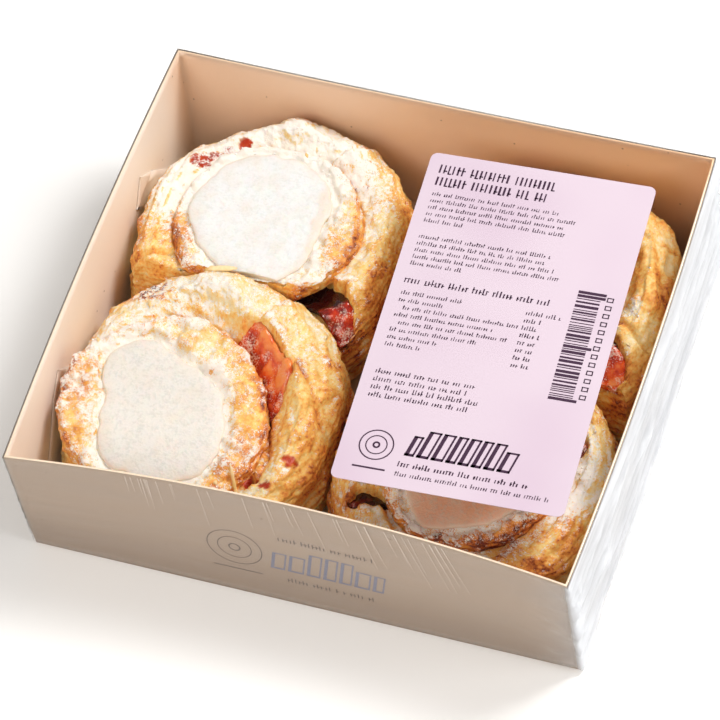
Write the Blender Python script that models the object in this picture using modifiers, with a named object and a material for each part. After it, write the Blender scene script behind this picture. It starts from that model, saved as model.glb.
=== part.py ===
# Pack of four jam filled puff pastry bundles: a folded board tray, the pastries with
# their jam, pastry lids and icing, the clear film round the tray, and a paper label.
# Metres, +Z up, the front of the pack towards -Y, origin under the middle of the tray.
import math
import random

import bmesh
import bpy
import numpy as np
from mathutils import Vector

# Driving dimensions of the tray
TRAY_WIDTH = 0.1780          # over the rim, along X
TRAY_DEPTH = 0.1593          # over the rim, along Y
TRAY_HEIGHT = 0.0545
BOARD = 0.0006               # thickness of the board
LONG_WALL_FLARE = 0.0031     # each long wall leans out by this from base to rim
FRONT_BOW = 0.0057           # the film pulls the middle of the front rim inwards
BACK_BOW = 0.0007
SIDE_BOW = 0.0018            # the middle of the short walls bulges outwards

# Film and label
GAP = 0.0003                 # between pieces that touch
FILM = 0.0003
FILM_LIFT = 0.0015           # the film's lower edge stays off the ground by this
LABEL_SIZE = (0.0720, 0.1220)
LABEL_THICKNESS = 0.0002
LABEL_CENTRE = (0.0423, 0.0011)
LABEL_TURN = math.radians(3.0)
LABEL_CORNER = 0.0022

# Layers of a pastry, from the seat plane under its lid
JAM_DEPTH = 0.0065
LID_THICKNESS = 0.0062       # at the dish that the icing fills
LID_RIM = 0.0026             # the rim stands above the dish by this
ICING_THICKNESS = 0.0024
CRUST_WALL = 0.0045          # least thickness of crust outside the jam
WIDEST = 0.0175              # height of a crust's widest line
CRUST_ROUNDNESS = 2.9        # exponent of the superellipse that a crust's side follows
LID_ROUNDNESS = 3.2
BASE_FLATNESS = 1.14         # over 1: the underside is cut flat
WINDOW_SLOPE = 1.25          # rise of the crust outside the lid
BASIN_SLOPE = 2.75           # rise of the crust round a jam window
LID_CLEARANCE = 0.0026       # the crust starts to rise this far outside the lid
WINDOW_WIDTH = 0.58          # half width of a jam window, in radians round the pastry
BASIN_SHARE = 0.36           # the jam basin's reach between the windows, as a share of the outline
JAM_INSET = 0.075            # the jam ends this share of the outline inside its basin
JAM_NARROWING = 0.88         # and it is this much narrower at the windows
OUTLINE_POWER = 2.5          # exponent of the rounded square seen from above
CORNER_WIDTH = 0.42          # half width of a corner, in radians round the pastry
FOLD_HEIGHT = 0.0026         # folded corners stand above the seams between them
FOLD_PLACE, FOLD_WIDTH = 0.72, 0.30
DOME_SHARE = 0.80            # height of the superellipse at which a crust reaches its top
LAYER_PITCH = 0.0085         # height of one laminated layer on a crust's side
LAYER_RELIEF = 0.0009
LAYER_PLACE, LAYER_SPREAD = 0.10, 0.60
LUMP_RELIEF = 0.0011
TOP_LUMP_SHARE = 0.7         # lumps on top, as a share of those at the side
SHOULDER_HEIGHT = 0.0005     # the upper half of a crust starts this far above its widest line
BODY_SHARE = 0.45            # height of a lid's widest line, as a share of its thickness
RIM_START = 1.12             # the lid's rim starts at this share of the icing's outline
RIM_STEEPNESS = 3.2
RIM_WAVES = (0.75, 0.50)     # least height of the rim and how much it waves
LID_SWELL = 0.060            # lobes of the lid's outline, as a share of its radius
ICING_WOBBLE = 0.03
ICING_EDGE = 0.25            # height of the icing's widest line, as a share of its thickness

# Where the front and back pastries press against each other
LEFT_SEAM_BASE = -0.0030
RIGHT_SEAM_BASE = -0.0090
SEAM_LEAN = 0.31             # the front ones lean over the back ones
SEAM_BEND = 0.0300           # nearer the middle than this the seam turns forward
SEAM_CURVE = 22.0
MIDDLE_GAP = 0.0008          # half the gap between the left and the right pastries
WALL_GAP = 0.0006

# Mesh densities
CRUST_SEGMENTS, CRUST_RINGS = 44, 19
LID_SEGMENTS, LID_RINGS = 42, 10
ICING_SEGMENTS, ICING_RINGS = 28, 7
JAM_SEGMENTS, JAM_RINGS = 32, 6

# One row a pastry. Corners and windows run north east, north west, south west, south east.
# seat: a point of the plane under the lid and its slope along X and Y.
# swell: a place where the crust stands higher, with its radius and height.
PASTRIES = {
    "front_left": dict(
        centre=(-0.0440, -0.0300), half=(0.0436, 0.0435), top=0.0425, seed=3,
        corners=(0.00, 0.02, 0.03, 0.05), windows=(0.80, 0.46, 0.46, 0.70),
        seat=(-0.0545, -0.0430, 0.0310), slope=(-0.10, 0.18), lid=(0.0320, 0.0315),
        icing=(-0.0540, -0.0430), icing_half=(0.0215, 0.0235),
        swell=(-0.0520, 0.0040, 0.0160, 0.0040)),
    "back_left": dict(
        centre=(-0.0445, 0.0340), half=(0.0434, 0.0420), top=0.0425, seed=8,
        corners=(0.00, -0.07, 0.04, 0.10), windows=(0.50, 0.66, 0.46, 0.94),
        seat=(-0.0440, 0.0325, 0.0340), slope=(0.02, 0.02), lid=(0.0305, 0.0275),
        icing=(-0.0470, 0.0320), icing_half=(0.0235, 0.0215),
        swell=(-0.0440, 0.0620, 0.0140, 0.0010)),
    "back_right": dict(
        centre=(0.0445, 0.0310), half=(0.0434, 0.0460), top=0.0425, seed=15,
        corners=(0.04, 0.04, 0.03, 0.05), windows=(0.50, 0.50, 0.60, 0.90),
        seat=(0.0420, 0.0330, 0.0325), slope=(0.00, 0.03), lid=(0.0285, 0.0280),
        icing=(0.0410, 0.0335), icing_half=(0.0215, 0.0210),
        swell=(0.0760, 0.0300, 0.0140, 0.0010)),
    "front_right": dict(
        centre=(0.0440, -0.0300), half=(0.0436, 0.0435), top=0.0405, seed=23,
        corners=(-0.10, 0.03, 0.03, 0.05), windows=(0.72, 0.50, 0.88, 0.56),
        seat=(0.0475, -0.0365, 0.0310), slope=(0.02, 0.09), lid=(0.0300, 0.0295),
        icing=(0.0480, -0.0375), icing_half=(0.0215, 0.0215),
        swell=(0.0760, -0.0620, 0.0140, 0.0010)),
}
DIAGONALS = tuple(math.radians(a) for a in (45, 135, 225, 315))

# Colours, linear
BOARD_COLOUR = (0.80, 0.68, 0.56)
FILM_COLOUR = (0.92, 0.94, 0.95)
LABEL_COLOUR = (0.93, 0.83, 0.93)
CRUST_COLOUR = (0.80, 0.50, 0.20)
LID_COLOUR = (0.82, 0.60, 0.38)
JAM_COLOUR = (0.42, 0.05, 0.02)
ICING_COLOUR = (0.90, 0.88, 0.84)

for leftover in list(bpy.data.objects):
    bpy.data.objects.remove(leftover)

pack = bpy.data.collections.new("pastry_pack")
bpy.context.scene.collection.children.link(pack)


# Materials and objects

def principled(name, colour, roughness, metallic=0.0, alpha=1.0):
    material = bpy.data.materials.new(name)
    material.use_nodes = True
    shader = material.node_tree.nodes["Principled BSDF"]
    shader.inputs["Base Color"].default_value = (*colour, 1.0)
    shader.inputs["Roughness"].default_value = roughness
    shader.inputs["Metallic"].default_value = metallic
    shader.inputs["Alpha"].default_value = alpha
    return material


def add_object(name, bm, material, smooth=True):
    mesh = bpy.data.meshes.new(name)
    bmesh.ops.recalc_face_normals(bm, faces=bm.faces)
    bm.to_mesh(mesh)
    bm.free()
    if smooth:
        mesh.shade_smooth()
    mesh.materials.append(material)
    piece = bpy.data.objects.new(name, mesh)
    pack.objects.link(piece)
    return piece


def sphere_form(name, segments, rings, place, material):
    # a round solid: a sphere whose points are moved by place(turn, drop),
    # with turn round Z and drop from 0 at the top to 1 at the bottom
    bm = bmesh.new()
    bmesh.ops.create_uvsphere(bm, u_segments=segments, v_segments=rings, radius=1.0)
    for vert in bm.verts:
        turn = math.atan2(vert.co.y, vert.co.x)
        drop = math.acos(max(-1.0, min(1.0, vert.co.z))) / math.pi
        vert.co = place(turn, drop)
    return add_object(name, bm, material)


# Tray and film: a box whose walls lean and bow

def side_reach(b, h):
    return TRAY_WIDTH / 2 + SIDE_BOW * (1 - b * b) * h


def front_reach(a, h):
    return TRAY_DEPTH / 2 - LONG_WALL_FLARE * (1 - h) - FRONT_BOW * (1 - a * a) * h


def back_reach(a, h):
    return TRAY_DEPTH / 2 - LONG_WALL_FLARE * (1 - h) - BACK_BOW * (1 - a * a) * h


def box_point(a, b, h, grow=0.0):
    # a and b run from -1 to 1 across and along the tray, h from 0 to 1 up its walls
    reach = front_reach(a, h) if b < 0 else back_reach(a, h)
    return Vector((a * (side_reach(b, h) + grow), b * (reach + grow), h * TRAY_HEIGHT))


def open_box(name, open_side, low, grow, thickness, offset, material):
    # a cube without one face, divided evenly, with its points set on the bowed walls
    bm = bmesh.new()
    bmesh.ops.create_cube(bm, size=2.0)
    open_face = [f for f in bm.faces if f.normal.z * open_side > 0.5]
    bmesh.ops.delete(bm, geom=open_face, context="FACES_ONLY")
    for axis, cuts in enumerate((7, 5, 2)):
        edges = [e for e in bm.edges if abs((e.verts[0].co - e.verts[1].co).normalized()[axis]) > 0.9]
        bmesh.ops.subdivide_edges(bm, edges=edges, cuts=cuts, use_grid_fill=True)
    for vert in bm.verts:
        h = low + (1 - low) * (vert.co.z + 1) / 2
        point = box_point(vert.co.x, vert.co.y, h, grow)
        if open_side < 0 and vert.co.z > 0.99:
            point.z += grow
        vert.co = point
    box = add_object(name, bm, material, smooth=False)
    shell = box.modifiers.new("wall_thickness", "SOLIDIFY")
    shell.thickness = thickness
    shell.offset = offset
    shell.use_even_offset = True
    return box


def make_tray():
    board = principled("folding_boxboard", BOARD_COLOUR, 0.55)
    open_box("tray", 1, 0.0, 0.0, BOARD, -1.0, board)


def make_film():
    clear = principled("clear_film", FILM_COLOUR, 0.08, alpha=0.25)
    open_box("film", -1, FILM_LIFT / TRAY_HEIGHT, GAP, FILM, 1.0, clear)


def make_label():
    paper = principled("label_paper", LABEL_COLOUR, 0.45)
    bm = bmesh.new()
    bmesh.ops.create_cube(bm, size=1.0)
    bmesh.ops.scale(bm, vec=(*LABEL_SIZE, LABEL_THICKNESS), verts=bm.verts)
    upright = [e for e in bm.edges if abs(e.verts[0].co.z - e.verts[1].co.z) > LABEL_THICKNESS / 2]
    bmesh.ops.bevel(bm, geom=upright, offset=LABEL_CORNER, segments=4, profile=0.5, affect="EDGES")
    label = add_object("label", bm, paper, smooth=False)
    level = TRAY_HEIGHT + GAP + FILM + GAP + LABEL_THICKNESS / 2
    label.location = (*LABEL_CENTRE, level)
    label.rotation_euler = (0.0, 0.0, LABEL_TURN)


# Shape rules shared by the pieces of a pastry

def even_profile(roundness):
    # half a superellipse from its top to its bottom: height and reach at even steps
    angle = np.linspace(0.0, math.pi, 721)
    reach = np.abs(np.sin(angle)) ** (2 / roundness)
    height = np.sign(np.cos(angle)) * np.abs(np.cos(angle)) ** (2 / roundness)
    length = np.concatenate(([0.0], np.cumsum(np.hypot(np.diff(reach), np.diff(height)))))
    return length / length[-1], reach, height


CRUST_PROFILE = even_profile(CRUST_ROUNDNESS)
LID_PROFILE = even_profile(LID_ROUNDNESS)


def profile_at(profile, drop, rows):
    # rows spreads the rings: pairs of drop and share of the profile's length
    share = np.interp(drop, rows[0], rows[1])
    return float(np.interp(share, profile[0], profile[1])), float(np.interp(share, profile[0], profile[2]))


CRUST_ROWS = ((0.0, 0.56, 0.90, 1.0), (0.0, 0.38, 0.70, 1.0))
LID_ROWS = ((0.0, 0.60, 0.72, 1.0), (0.0, 0.50, 0.62, 1.0))


def wrapped(angle):
    return math.atan2(math.sin(angle), math.cos(angle))


def bump(value, width):
    return math.exp(-(value / width) ** 2)


def corner_sum(values, turn, width):
    return sum(v * bump(wrapped(turn - d), width) for v, d in zip(values, DIAGONALS))


def ripple(pastry, turn, counts, salt):
    # a wavy offset between about -1 and 1 round the rim, different on each pastry
    draw = random.Random(pastry["seed"] * 101 + salt)
    waves = [math.sin(n * turn + draw.uniform(0, 2 * math.pi)) for n in counts]
    return sum(waves) / len(waves)


def outline(pastry, turn):
    a, b = pastry["half"]
    sides = (abs(math.cos(turn)) / a) ** OUTLINE_POWER + (abs(math.sin(turn)) / b) ** OUTLINE_POWER
    return sides ** (-1 / OUTLINE_POWER) * (1 + corner_sum(pastry["corners"], turn, CORNER_WIDTH))


def window_edge(pastry, turn, width=WINDOW_WIDTH):
    # how far the jam basin runs out, as a share of the outline
    return BASIN_SHARE + corner_sum([w - BASIN_SHARE for w in pastry["windows"]], turn, width)


def seat(pastry, x, y):
    px, py, pz = pastry["seat"]
    sx, sy = pastry["slope"]
    return pz + sx * (x - px) + sy * (y - py)


def past_lid(pastry, x, y):
    # distance outside the ring that the lid's edge keeps clear, at least zero
    px, py, _ = pastry["seat"]
    rx, ry = pastry["lid"]
    share = math.hypot((x - px) / rx, (y - py) / ry)
    return max(0.0, (share - 1) * (rx + ry) / 2 - LID_CLEARANCE)


def seam_line(x, z):
    turned = max(0.0, SEAM_BEND - abs(x))
    base = RIGHT_SEAM_BASE if x > 0 else LEFT_SEAM_BASE
    return base + SEAM_LEAN * z - SEAM_CURVE * turned * turned


def pressed(pastry, x, y, z, inset=0.0):
    # flattens a point against the walls and against the neighbouring pastries
    h = min(1.0, max(0.0, z / TRAY_HEIGHT))
    right = pastry["centre"][0] > 0
    front = pastry["centre"][1] < 0
    a = x / (TRAY_WIDTH / 2)
    b = y / (TRAY_DEPTH / 2)
    reach = side_reach(b, h) - BOARD - WALL_GAP - inset
    middle = MIDDLE_GAP + inset
    x = min(max(x, middle), reach) if right else max(min(x, -middle), -reach)
    seam = seam_line(x, z)
    if front:
        y = min(max(y, inset - (front_reach(a, h) - BOARD - WALL_GAP)), seam - GAP - inset)
    else:
        y = max(min(y, back_reach(a, h) - BOARD - WALL_GAP - inset), seam + 3 * GAP + inset)
    return Vector((x, y, z))


# Pieces of a pastry

def crust_point(pastry, turn, drop):
    cx, cy = pastry["centre"]
    reach, height = profile_at(CRUST_PROFILE, drop, CRUST_ROWS)
    edge = outline(pastry, turn)
    layer = math.cos(2 * math.pi * WIDEST * height / LAYER_PITCH)
    relief = LAYER_RELIEF * layer * bump(height - LAYER_PLACE, LAYER_SPREAD)
    relief += LUMP_RELIEF * ripple(pastry, turn, (5, 7, 9), 1)
    radius = edge * reach + relief * reach ** 3
    x = cx + radius * math.cos(turn)
    y = cy + radius * math.sin(turn)
    floor = BOARD + GAP
    if height < 0:
        z = max(floor, WIDEST + WIDEST * BASE_FLATNESS * height)
        return pressed(pastry, x, y, z)
    folds = FOLD_HEIGHT * math.cos(4 * turn) * bump(reach - FOLD_PLACE, FOLD_WIDTH)
    lumps = TOP_LUMP_SHARE * LUMP_RELIEF * ripple(pastry, turn, (6, 11, 13), 2)
    dome = WIDEST + (pastry["top"] - WIDEST) * height / DOME_SHARE + (folds + lumps) * reach
    sx, sy, radius_out, rise = pastry["swell"]
    dome += rise * bump(math.hypot(x - sx, y - sy), radius_out)
    x, y, _ = pressed(pastry, x, y, dome)
    level = seat(pastry, x, y)
    seated = level - GAP + WINDOW_SLOPE * past_lid(pastry, x, y)
    outside = max(0.0, reach - window_edge(pastry, turn)) * edge
    basin = level - JAM_DEPTH + BASIN_SLOPE * outside
    z = max(WIDEST + SHOULDER_HEIGHT, min(dome, seated, basin))
    return pressed(pastry, x, y, z)


def jam_point(pastry, turn, drop):
    cx, cy = pastry["centre"]
    reach, height = profile_at(LID_PROFILE, drop, LID_ROWS)
    edge = outline(pastry, turn) * (window_edge(pastry, turn, JAM_NARROWING * WINDOW_WIDTH) - JAM_INSET)
    x = cx + edge * reach * math.cos(turn)
    y = cy + edge * reach * math.sin(turn)
    x, y, _ = pressed(pastry, x, y, pastry["top"], CRUST_WALL)
    full = JAM_DEPTH - 3 * GAP
    share = 0.5 * (1 + height) if height > 0 else 0.5 * (1 + height) ** 2
    return Vector((x, y, seat(pastry, x, y) - JAM_DEPTH + GAP + full * share))


def lid_point(pastry, turn, drop):
    px, py, _ = pastry["seat"]
    rx, ry = pastry["lid"]
    reach, height = profile_at(LID_PROFILE, drop, LID_ROWS)
    lobes = 0.6 * ripple(pastry, turn, (9, 13), 3) + 0.4 * ripple(pastry, turn, (3, 5), 4)
    wider = 1 + LID_SWELL * lobes * reach ** 4
    x = px + rx * reach * wider * math.cos(turn)
    y = py + ry * reach * wider * math.sin(turn)
    body = LID_THICKNESS * BODY_SHARE
    if height < 0:
        return pressed(pastry, x, y, seat(pastry, x, y) + body * (1 + height) ** 3)
    ix, iy = pastry["icing"]
    hx, hy = pastry["icing_half"]
    past_icing = max(0.0, math.hypot((x - ix) / hx, (y - iy) / hy) - RIM_START)
    least, waving = RIM_WAVES
    rim = LID_RIM * min(1.0, RIM_STEEPNESS * past_icing) * (least + waving * ripple(pastry, turn, (9, 14, 17), 5))
    top = LID_THICKNESS + rim
    edge_drop = 1 - (1 - height) ** 2 if reach > 0.8 else 1.0
    z = seat(pastry, x, y) + body + (top - body) * edge_drop
    return pressed(pastry, x, y, min(z, seat(pastry, x, y) + top))


def icing_point(pastry, turn, drop):
    ix, iy = pastry["icing"]
    hx, hy = pastry["icing_half"]
    reach, height = profile_at(LID_PROFILE, drop, LID_ROWS)
    wobble = 1 + ICING_WOBBLE * ripple(pastry, turn, (2, 3, 5), 6)
    x = ix + hx * reach * wobble * math.cos(turn)
    y = iy + hy * reach * wobble * math.sin(turn)
    rise = max(0.0, ICING_EDGE + (1 - ICING_EDGE) * height)
    z = seat(pastry, x, y) + LID_THICKNESS + GAP + ICING_THICKNESS * rise
    return pressed(pastry, x, y, z)


def make_pastries():
    dough = principled("baked_puff_pastry", CRUST_COLOUR, 0.55)
    top_dough = principled("sugared_puff_pastry", LID_COLOUR, 0.6)
    apple_jam = principled("apple_jam", JAM_COLOUR, 0.15)
    fondant = principled("sugar_icing", ICING_COLOUR, 0.35)
    pieces = (
        ("crust", CRUST_SEGMENTS, CRUST_RINGS, crust_point, dough),
        ("jam", JAM_SEGMENTS, JAM_RINGS, jam_point, apple_jam),
        ("lid", LID_SEGMENTS, LID_RINGS, lid_point, top_dough),
        ("icing", ICING_SEGMENTS, ICING_RINGS, icing_point, fondant),
    )
    for place_name, pastry in PASTRIES.items():
        for kind, segments, rings, point_rule, material in pieces:
            place = lambda turn, drop, rule=point_rule, row=pastry: rule(row, turn, drop)
            sphere_form(f"{kind}_{place_name}", segments, rings, place, material)


make_tray()
make_film()
make_label()
make_pastries()
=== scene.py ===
import math
import random

import bpy
import numpy as np
from mathutils import Matrix, Vector


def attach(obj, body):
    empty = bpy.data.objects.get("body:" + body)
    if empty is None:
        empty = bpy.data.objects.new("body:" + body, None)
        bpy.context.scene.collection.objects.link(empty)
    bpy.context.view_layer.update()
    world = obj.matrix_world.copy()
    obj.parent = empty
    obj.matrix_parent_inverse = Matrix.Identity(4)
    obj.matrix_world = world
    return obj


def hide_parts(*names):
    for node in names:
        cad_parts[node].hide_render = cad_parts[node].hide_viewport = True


# The looks of a film wrapped board tray with four jam filled puff pastry bundles.
# Lengths are in millimetres and become metres when a mesh is made.
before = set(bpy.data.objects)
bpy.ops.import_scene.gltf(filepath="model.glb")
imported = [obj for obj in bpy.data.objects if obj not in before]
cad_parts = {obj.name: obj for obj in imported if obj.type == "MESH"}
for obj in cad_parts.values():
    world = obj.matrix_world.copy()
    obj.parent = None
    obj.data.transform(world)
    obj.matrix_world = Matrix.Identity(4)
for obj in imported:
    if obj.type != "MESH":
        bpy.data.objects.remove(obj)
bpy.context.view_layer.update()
print("frame loaded with", len(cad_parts), "nodes")


# Numbers, waves and noise

def ease(value, low, high):
    # 0 below low, 1 above high, smooth between
    t = np.clip((value - low) / (high - low), 0.0, 1.0)
    return t * t * (3 - 2 * t)


def bump(value, width):
    return np.exp(-(value / width) ** 2)


def mixed(a, b, share):
    return a + (b - a) * share


def noiseAt(points, size, seed=0):
    # smooth lumps about this far apart, from about -1 to 1
    draw = np.random.default_rng(seed)
    order = draw.permutation(256)
    slopes = draw.normal(size=(256, 3))
    slopes /= np.linalg.norm(slopes, axis=1)[:, None]
    place = points / size + 57.3
    cell = np.floor(place).astype(int)
    part = place - cell
    fade = part ** 3 * (part * (part * 6 - 15) + 10)
    total = np.zeros(len(points))
    for corner in np.ndindex(2, 2, 2):
        spot = (cell + corner) & 255
        key = order[(order[(order[spot[:, 0]] + spot[:, 1]) & 255] + spot[:, 2]) & 255]
        weight = np.prod(np.where(corner, fade, 1 - fade), axis=1)
        total += weight * ((part - corner) * slopes[key]).sum(1)
    return total * 1.7


def fractalAt(points, size, seed, octaves=3, gain=0.5):
    total = 0.0
    strength = 1.0
    for octave in range(octaves):
        total = total + strength * noiseAt(points, size / 2 ** octave, seed + octave)
        strength *= gain
    return total


def ridgesAt(points, size, seed):
    # thin raised lines, 0 to 1
    return (1 - np.abs(noiseAt(points, size, seed))) ** 4


def stepped(value, sharpness=0.35):
    # a smooth field cut into terraces, as where thin layers of dough have flaked off
    level = np.floor(value)
    return level + ease(value - level, 1 - sharpness, 1.0)


def stepEdge(value, sharpness=0.35):
    # 1 along the edge of each terrace
    return bump(value - np.floor(value) - 1 + sharpness / 2, sharpness / 3)


def around(values, turn):
    # a smooth closed curve through values that stand at equal steps of turn
    values = np.array(values, float)
    place = (turn / (2 * math.pi)) % 1.0 * len(values)
    start = np.floor(place).astype(int)
    f = place - start
    a, b, c, d = (values[(start + k) % len(values)] for k in (-1, 0, 1, 2))
    return b + 0.5 * f * (c - a + f * (2 * a - 5 * b + 4 * c - d + f * (3 * (b - c) + d - a)))


def distanceTo(x, y, corners, closed=True):
    # distance to a line of corners, less than zero inside a closed one
    corners = np.array(corners, float)
    following = np.roll(corners, -1, 0)
    nearest = np.full(x.shape, 1e9)
    inside = np.zeros(x.shape, bool)
    for i in range(len(corners) if closed else len(corners) - 1):
        (px, py), (qx, qy) = corners[i], following[i]
        ex, ey = qx - px, qy - py
        along = np.clip(((x - px) * ex + (y - py) * ey) / (ex * ex + ey * ey), 0, 1)
        nearest = np.minimum(nearest, np.hypot(x - px - along * ex, y - py - along * ey))
        crossing = px + (y - py) * ex / (ey if abs(ey) > 1e-9 else 1e-9)
        inside ^= ((py > y) != (qy > y)) & (x < crossing)
    return np.where(inside & closed, -nearest, nearest)


# Meshes

def finishMesh(name, points, loops, starts, material, body="root", fields=None, smooth=True):
    mesh = bpy.data.meshes.new(name)
    mesh.vertices.add(len(points))
    mesh.vertices.foreach_set("co", (np.asarray(points) * 0.001).astype(np.float32).ravel())
    mesh.loops.add(len(loops))
    mesh.loops.foreach_set("vertex_index", np.asarray(loops, np.int32))
    mesh.polygons.add(len(starts))
    mesh.polygons.foreach_set("loop_start", np.asarray(starts, np.int32))
    mesh.update(calc_edges=True)
    mesh.validate()
    for field, values in (fields or {}).items():
        layer = mesh.attributes.new(field, "FLOAT", "POINT")
        layer.data.foreach_set("value", np.asarray(values, np.float32).ravel())
    if smooth:
        mesh.shade_smooth()
    mesh.materials.append(material)
    piece = bpy.data.objects.new(name, mesh)
    bpy.context.scene.collection.objects.link(piece)
    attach(piece, body)
    return piece


def gridFaces(rings, turns, closed=True):
    # four sided faces between rings of points
    i, j = np.meshgrid(np.arange(rings - 1), np.arange(turns if closed else turns - 1), indexing="ij")
    following = (j + 1) % turns
    corners = (i * turns + j, (i + 1) * turns + j, (i + 1) * turns + following, i * turns + following)
    return np.stack(corners, axis=-1).reshape(-1, 4)


def roundSolid(name, grid, material, fields=None):
    # rings of points from the top to the bottom, with the two ends filled in
    rings, turns, _ = grid.shape
    quads = gridFaces(rings, turns)
    top = np.arange(turns)
    bottom = (rings - 1) * turns + np.arange(turns)[::-1]
    loops = np.concatenate((quads.ravel(), top, bottom))
    starts = np.concatenate((np.arange(len(quads)) * 4, [quads.size, quads.size + turns]))
    return finishMesh(name, grid.reshape(-1, 3), loops, starts, material, fields=fields)


def sheetMesh(name, grid, material, fields=None, smooth=True, closed=False):
    rings, turns, _ = grid.shape
    quads = gridFaces(rings, turns, closed)
    starts = np.arange(len(quads)) * 4
    points = grid.reshape(-1, 3)
    return finishMesh(name, points, quads.ravel(), starts, material, fields=fields, smooth=smooth)


def flatFaces(name, quads, material):
    # loose four sided faces, given as an array of their corners
    points = np.asarray(quads, float).reshape(-1, 3)
    starts = np.arange(0, len(points), 4)
    return finishMesh(name, points, np.arange(len(points)), starts, material, smooth=False)


def normalsOf(grid, closed=True):
    if closed:
        across = np.roll(grid, -1, 1) - np.roll(grid, 1, 1)
    else:
        across = np.gradient(grid, axis=1)
    normals = np.cross(np.gradient(grid, axis=0), across)
    return normals / np.maximum(np.linalg.norm(normals, axis=2, keepdims=True), 1e-9)


# Materials

def hexColour(code):
    # an sRGB hex value as the linear colour that a node takes
    parts = [int(code[i:i + 2], 16) / 255 for i in (1, 3, 5)]
    return (*[c / 12.92 if c <= 0.04045 else ((c + 0.055) / 1.055) ** 2.4 for c in parts], 1.0)


def addNode(tree, kind, sockets=None, stops=None, **settings):
    # one node, with its settings and what goes into its sockets: a constant or another node's output
    made = tree.nodes.new("ShaderNode" + kind)
    for name, value in settings.items():
        setattr(made, name, value)
    for socket, value in (sockets or {}).items():
        if isinstance(value, bpy.types.NodeSocket):
            tree.links.new(value, made.inputs[socket])
        else:
            made.inputs[socket].default_value = value
    if stops:
        ramp = made.color_ramp
        while len(ramp.elements) < len(stops):
            ramp.elements.new(0.5)
        for element, (position, colour) in zip(ramp.elements, stops):
            element.position = position
            element.color = hexColour(colour)
    return made


def newMaterial(name):
    material = bpy.data.materials.new(name)
    material.use_nodes = True
    material.node_tree.nodes.clear()
    return material, material.node_tree


def spread(size):
    # scale of a pattern whose features are this many millimetres apart
    return 1000.0 / size


pastryFinish = {
    # dough from raw to nearly burnt
    "bakeColours": [(0.00, "#FFF4D6"), (0.24, "#FFE7AC"), (0.42, "#FED683"), (0.58, "#F8B95C"),
                    (0.72, "#E99847"), (0.86, "#C26A33"), (1.00, "#702E1B")],
    "sugarColour": "#FFFBF5", "jamColours": [(0.0, "#7A1A0C"), (0.5, "#B63416"), (1.0, "#E0622C")],
    # millimetres between patches of browning, blisters, grains and clumps of sugar, and torn edges;
    # real icing sugar is finer than 0.1 mm and shows only as the clumps that it forms
    "patch": 2.6, "blister": 0.9, "grain": 0.36, "clump": 1.3, "vein": 3.6,
    "glossRoughness": 0.42, "sugarRoughness": 0.85, "wetRoughness": 0.15,
}


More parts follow.
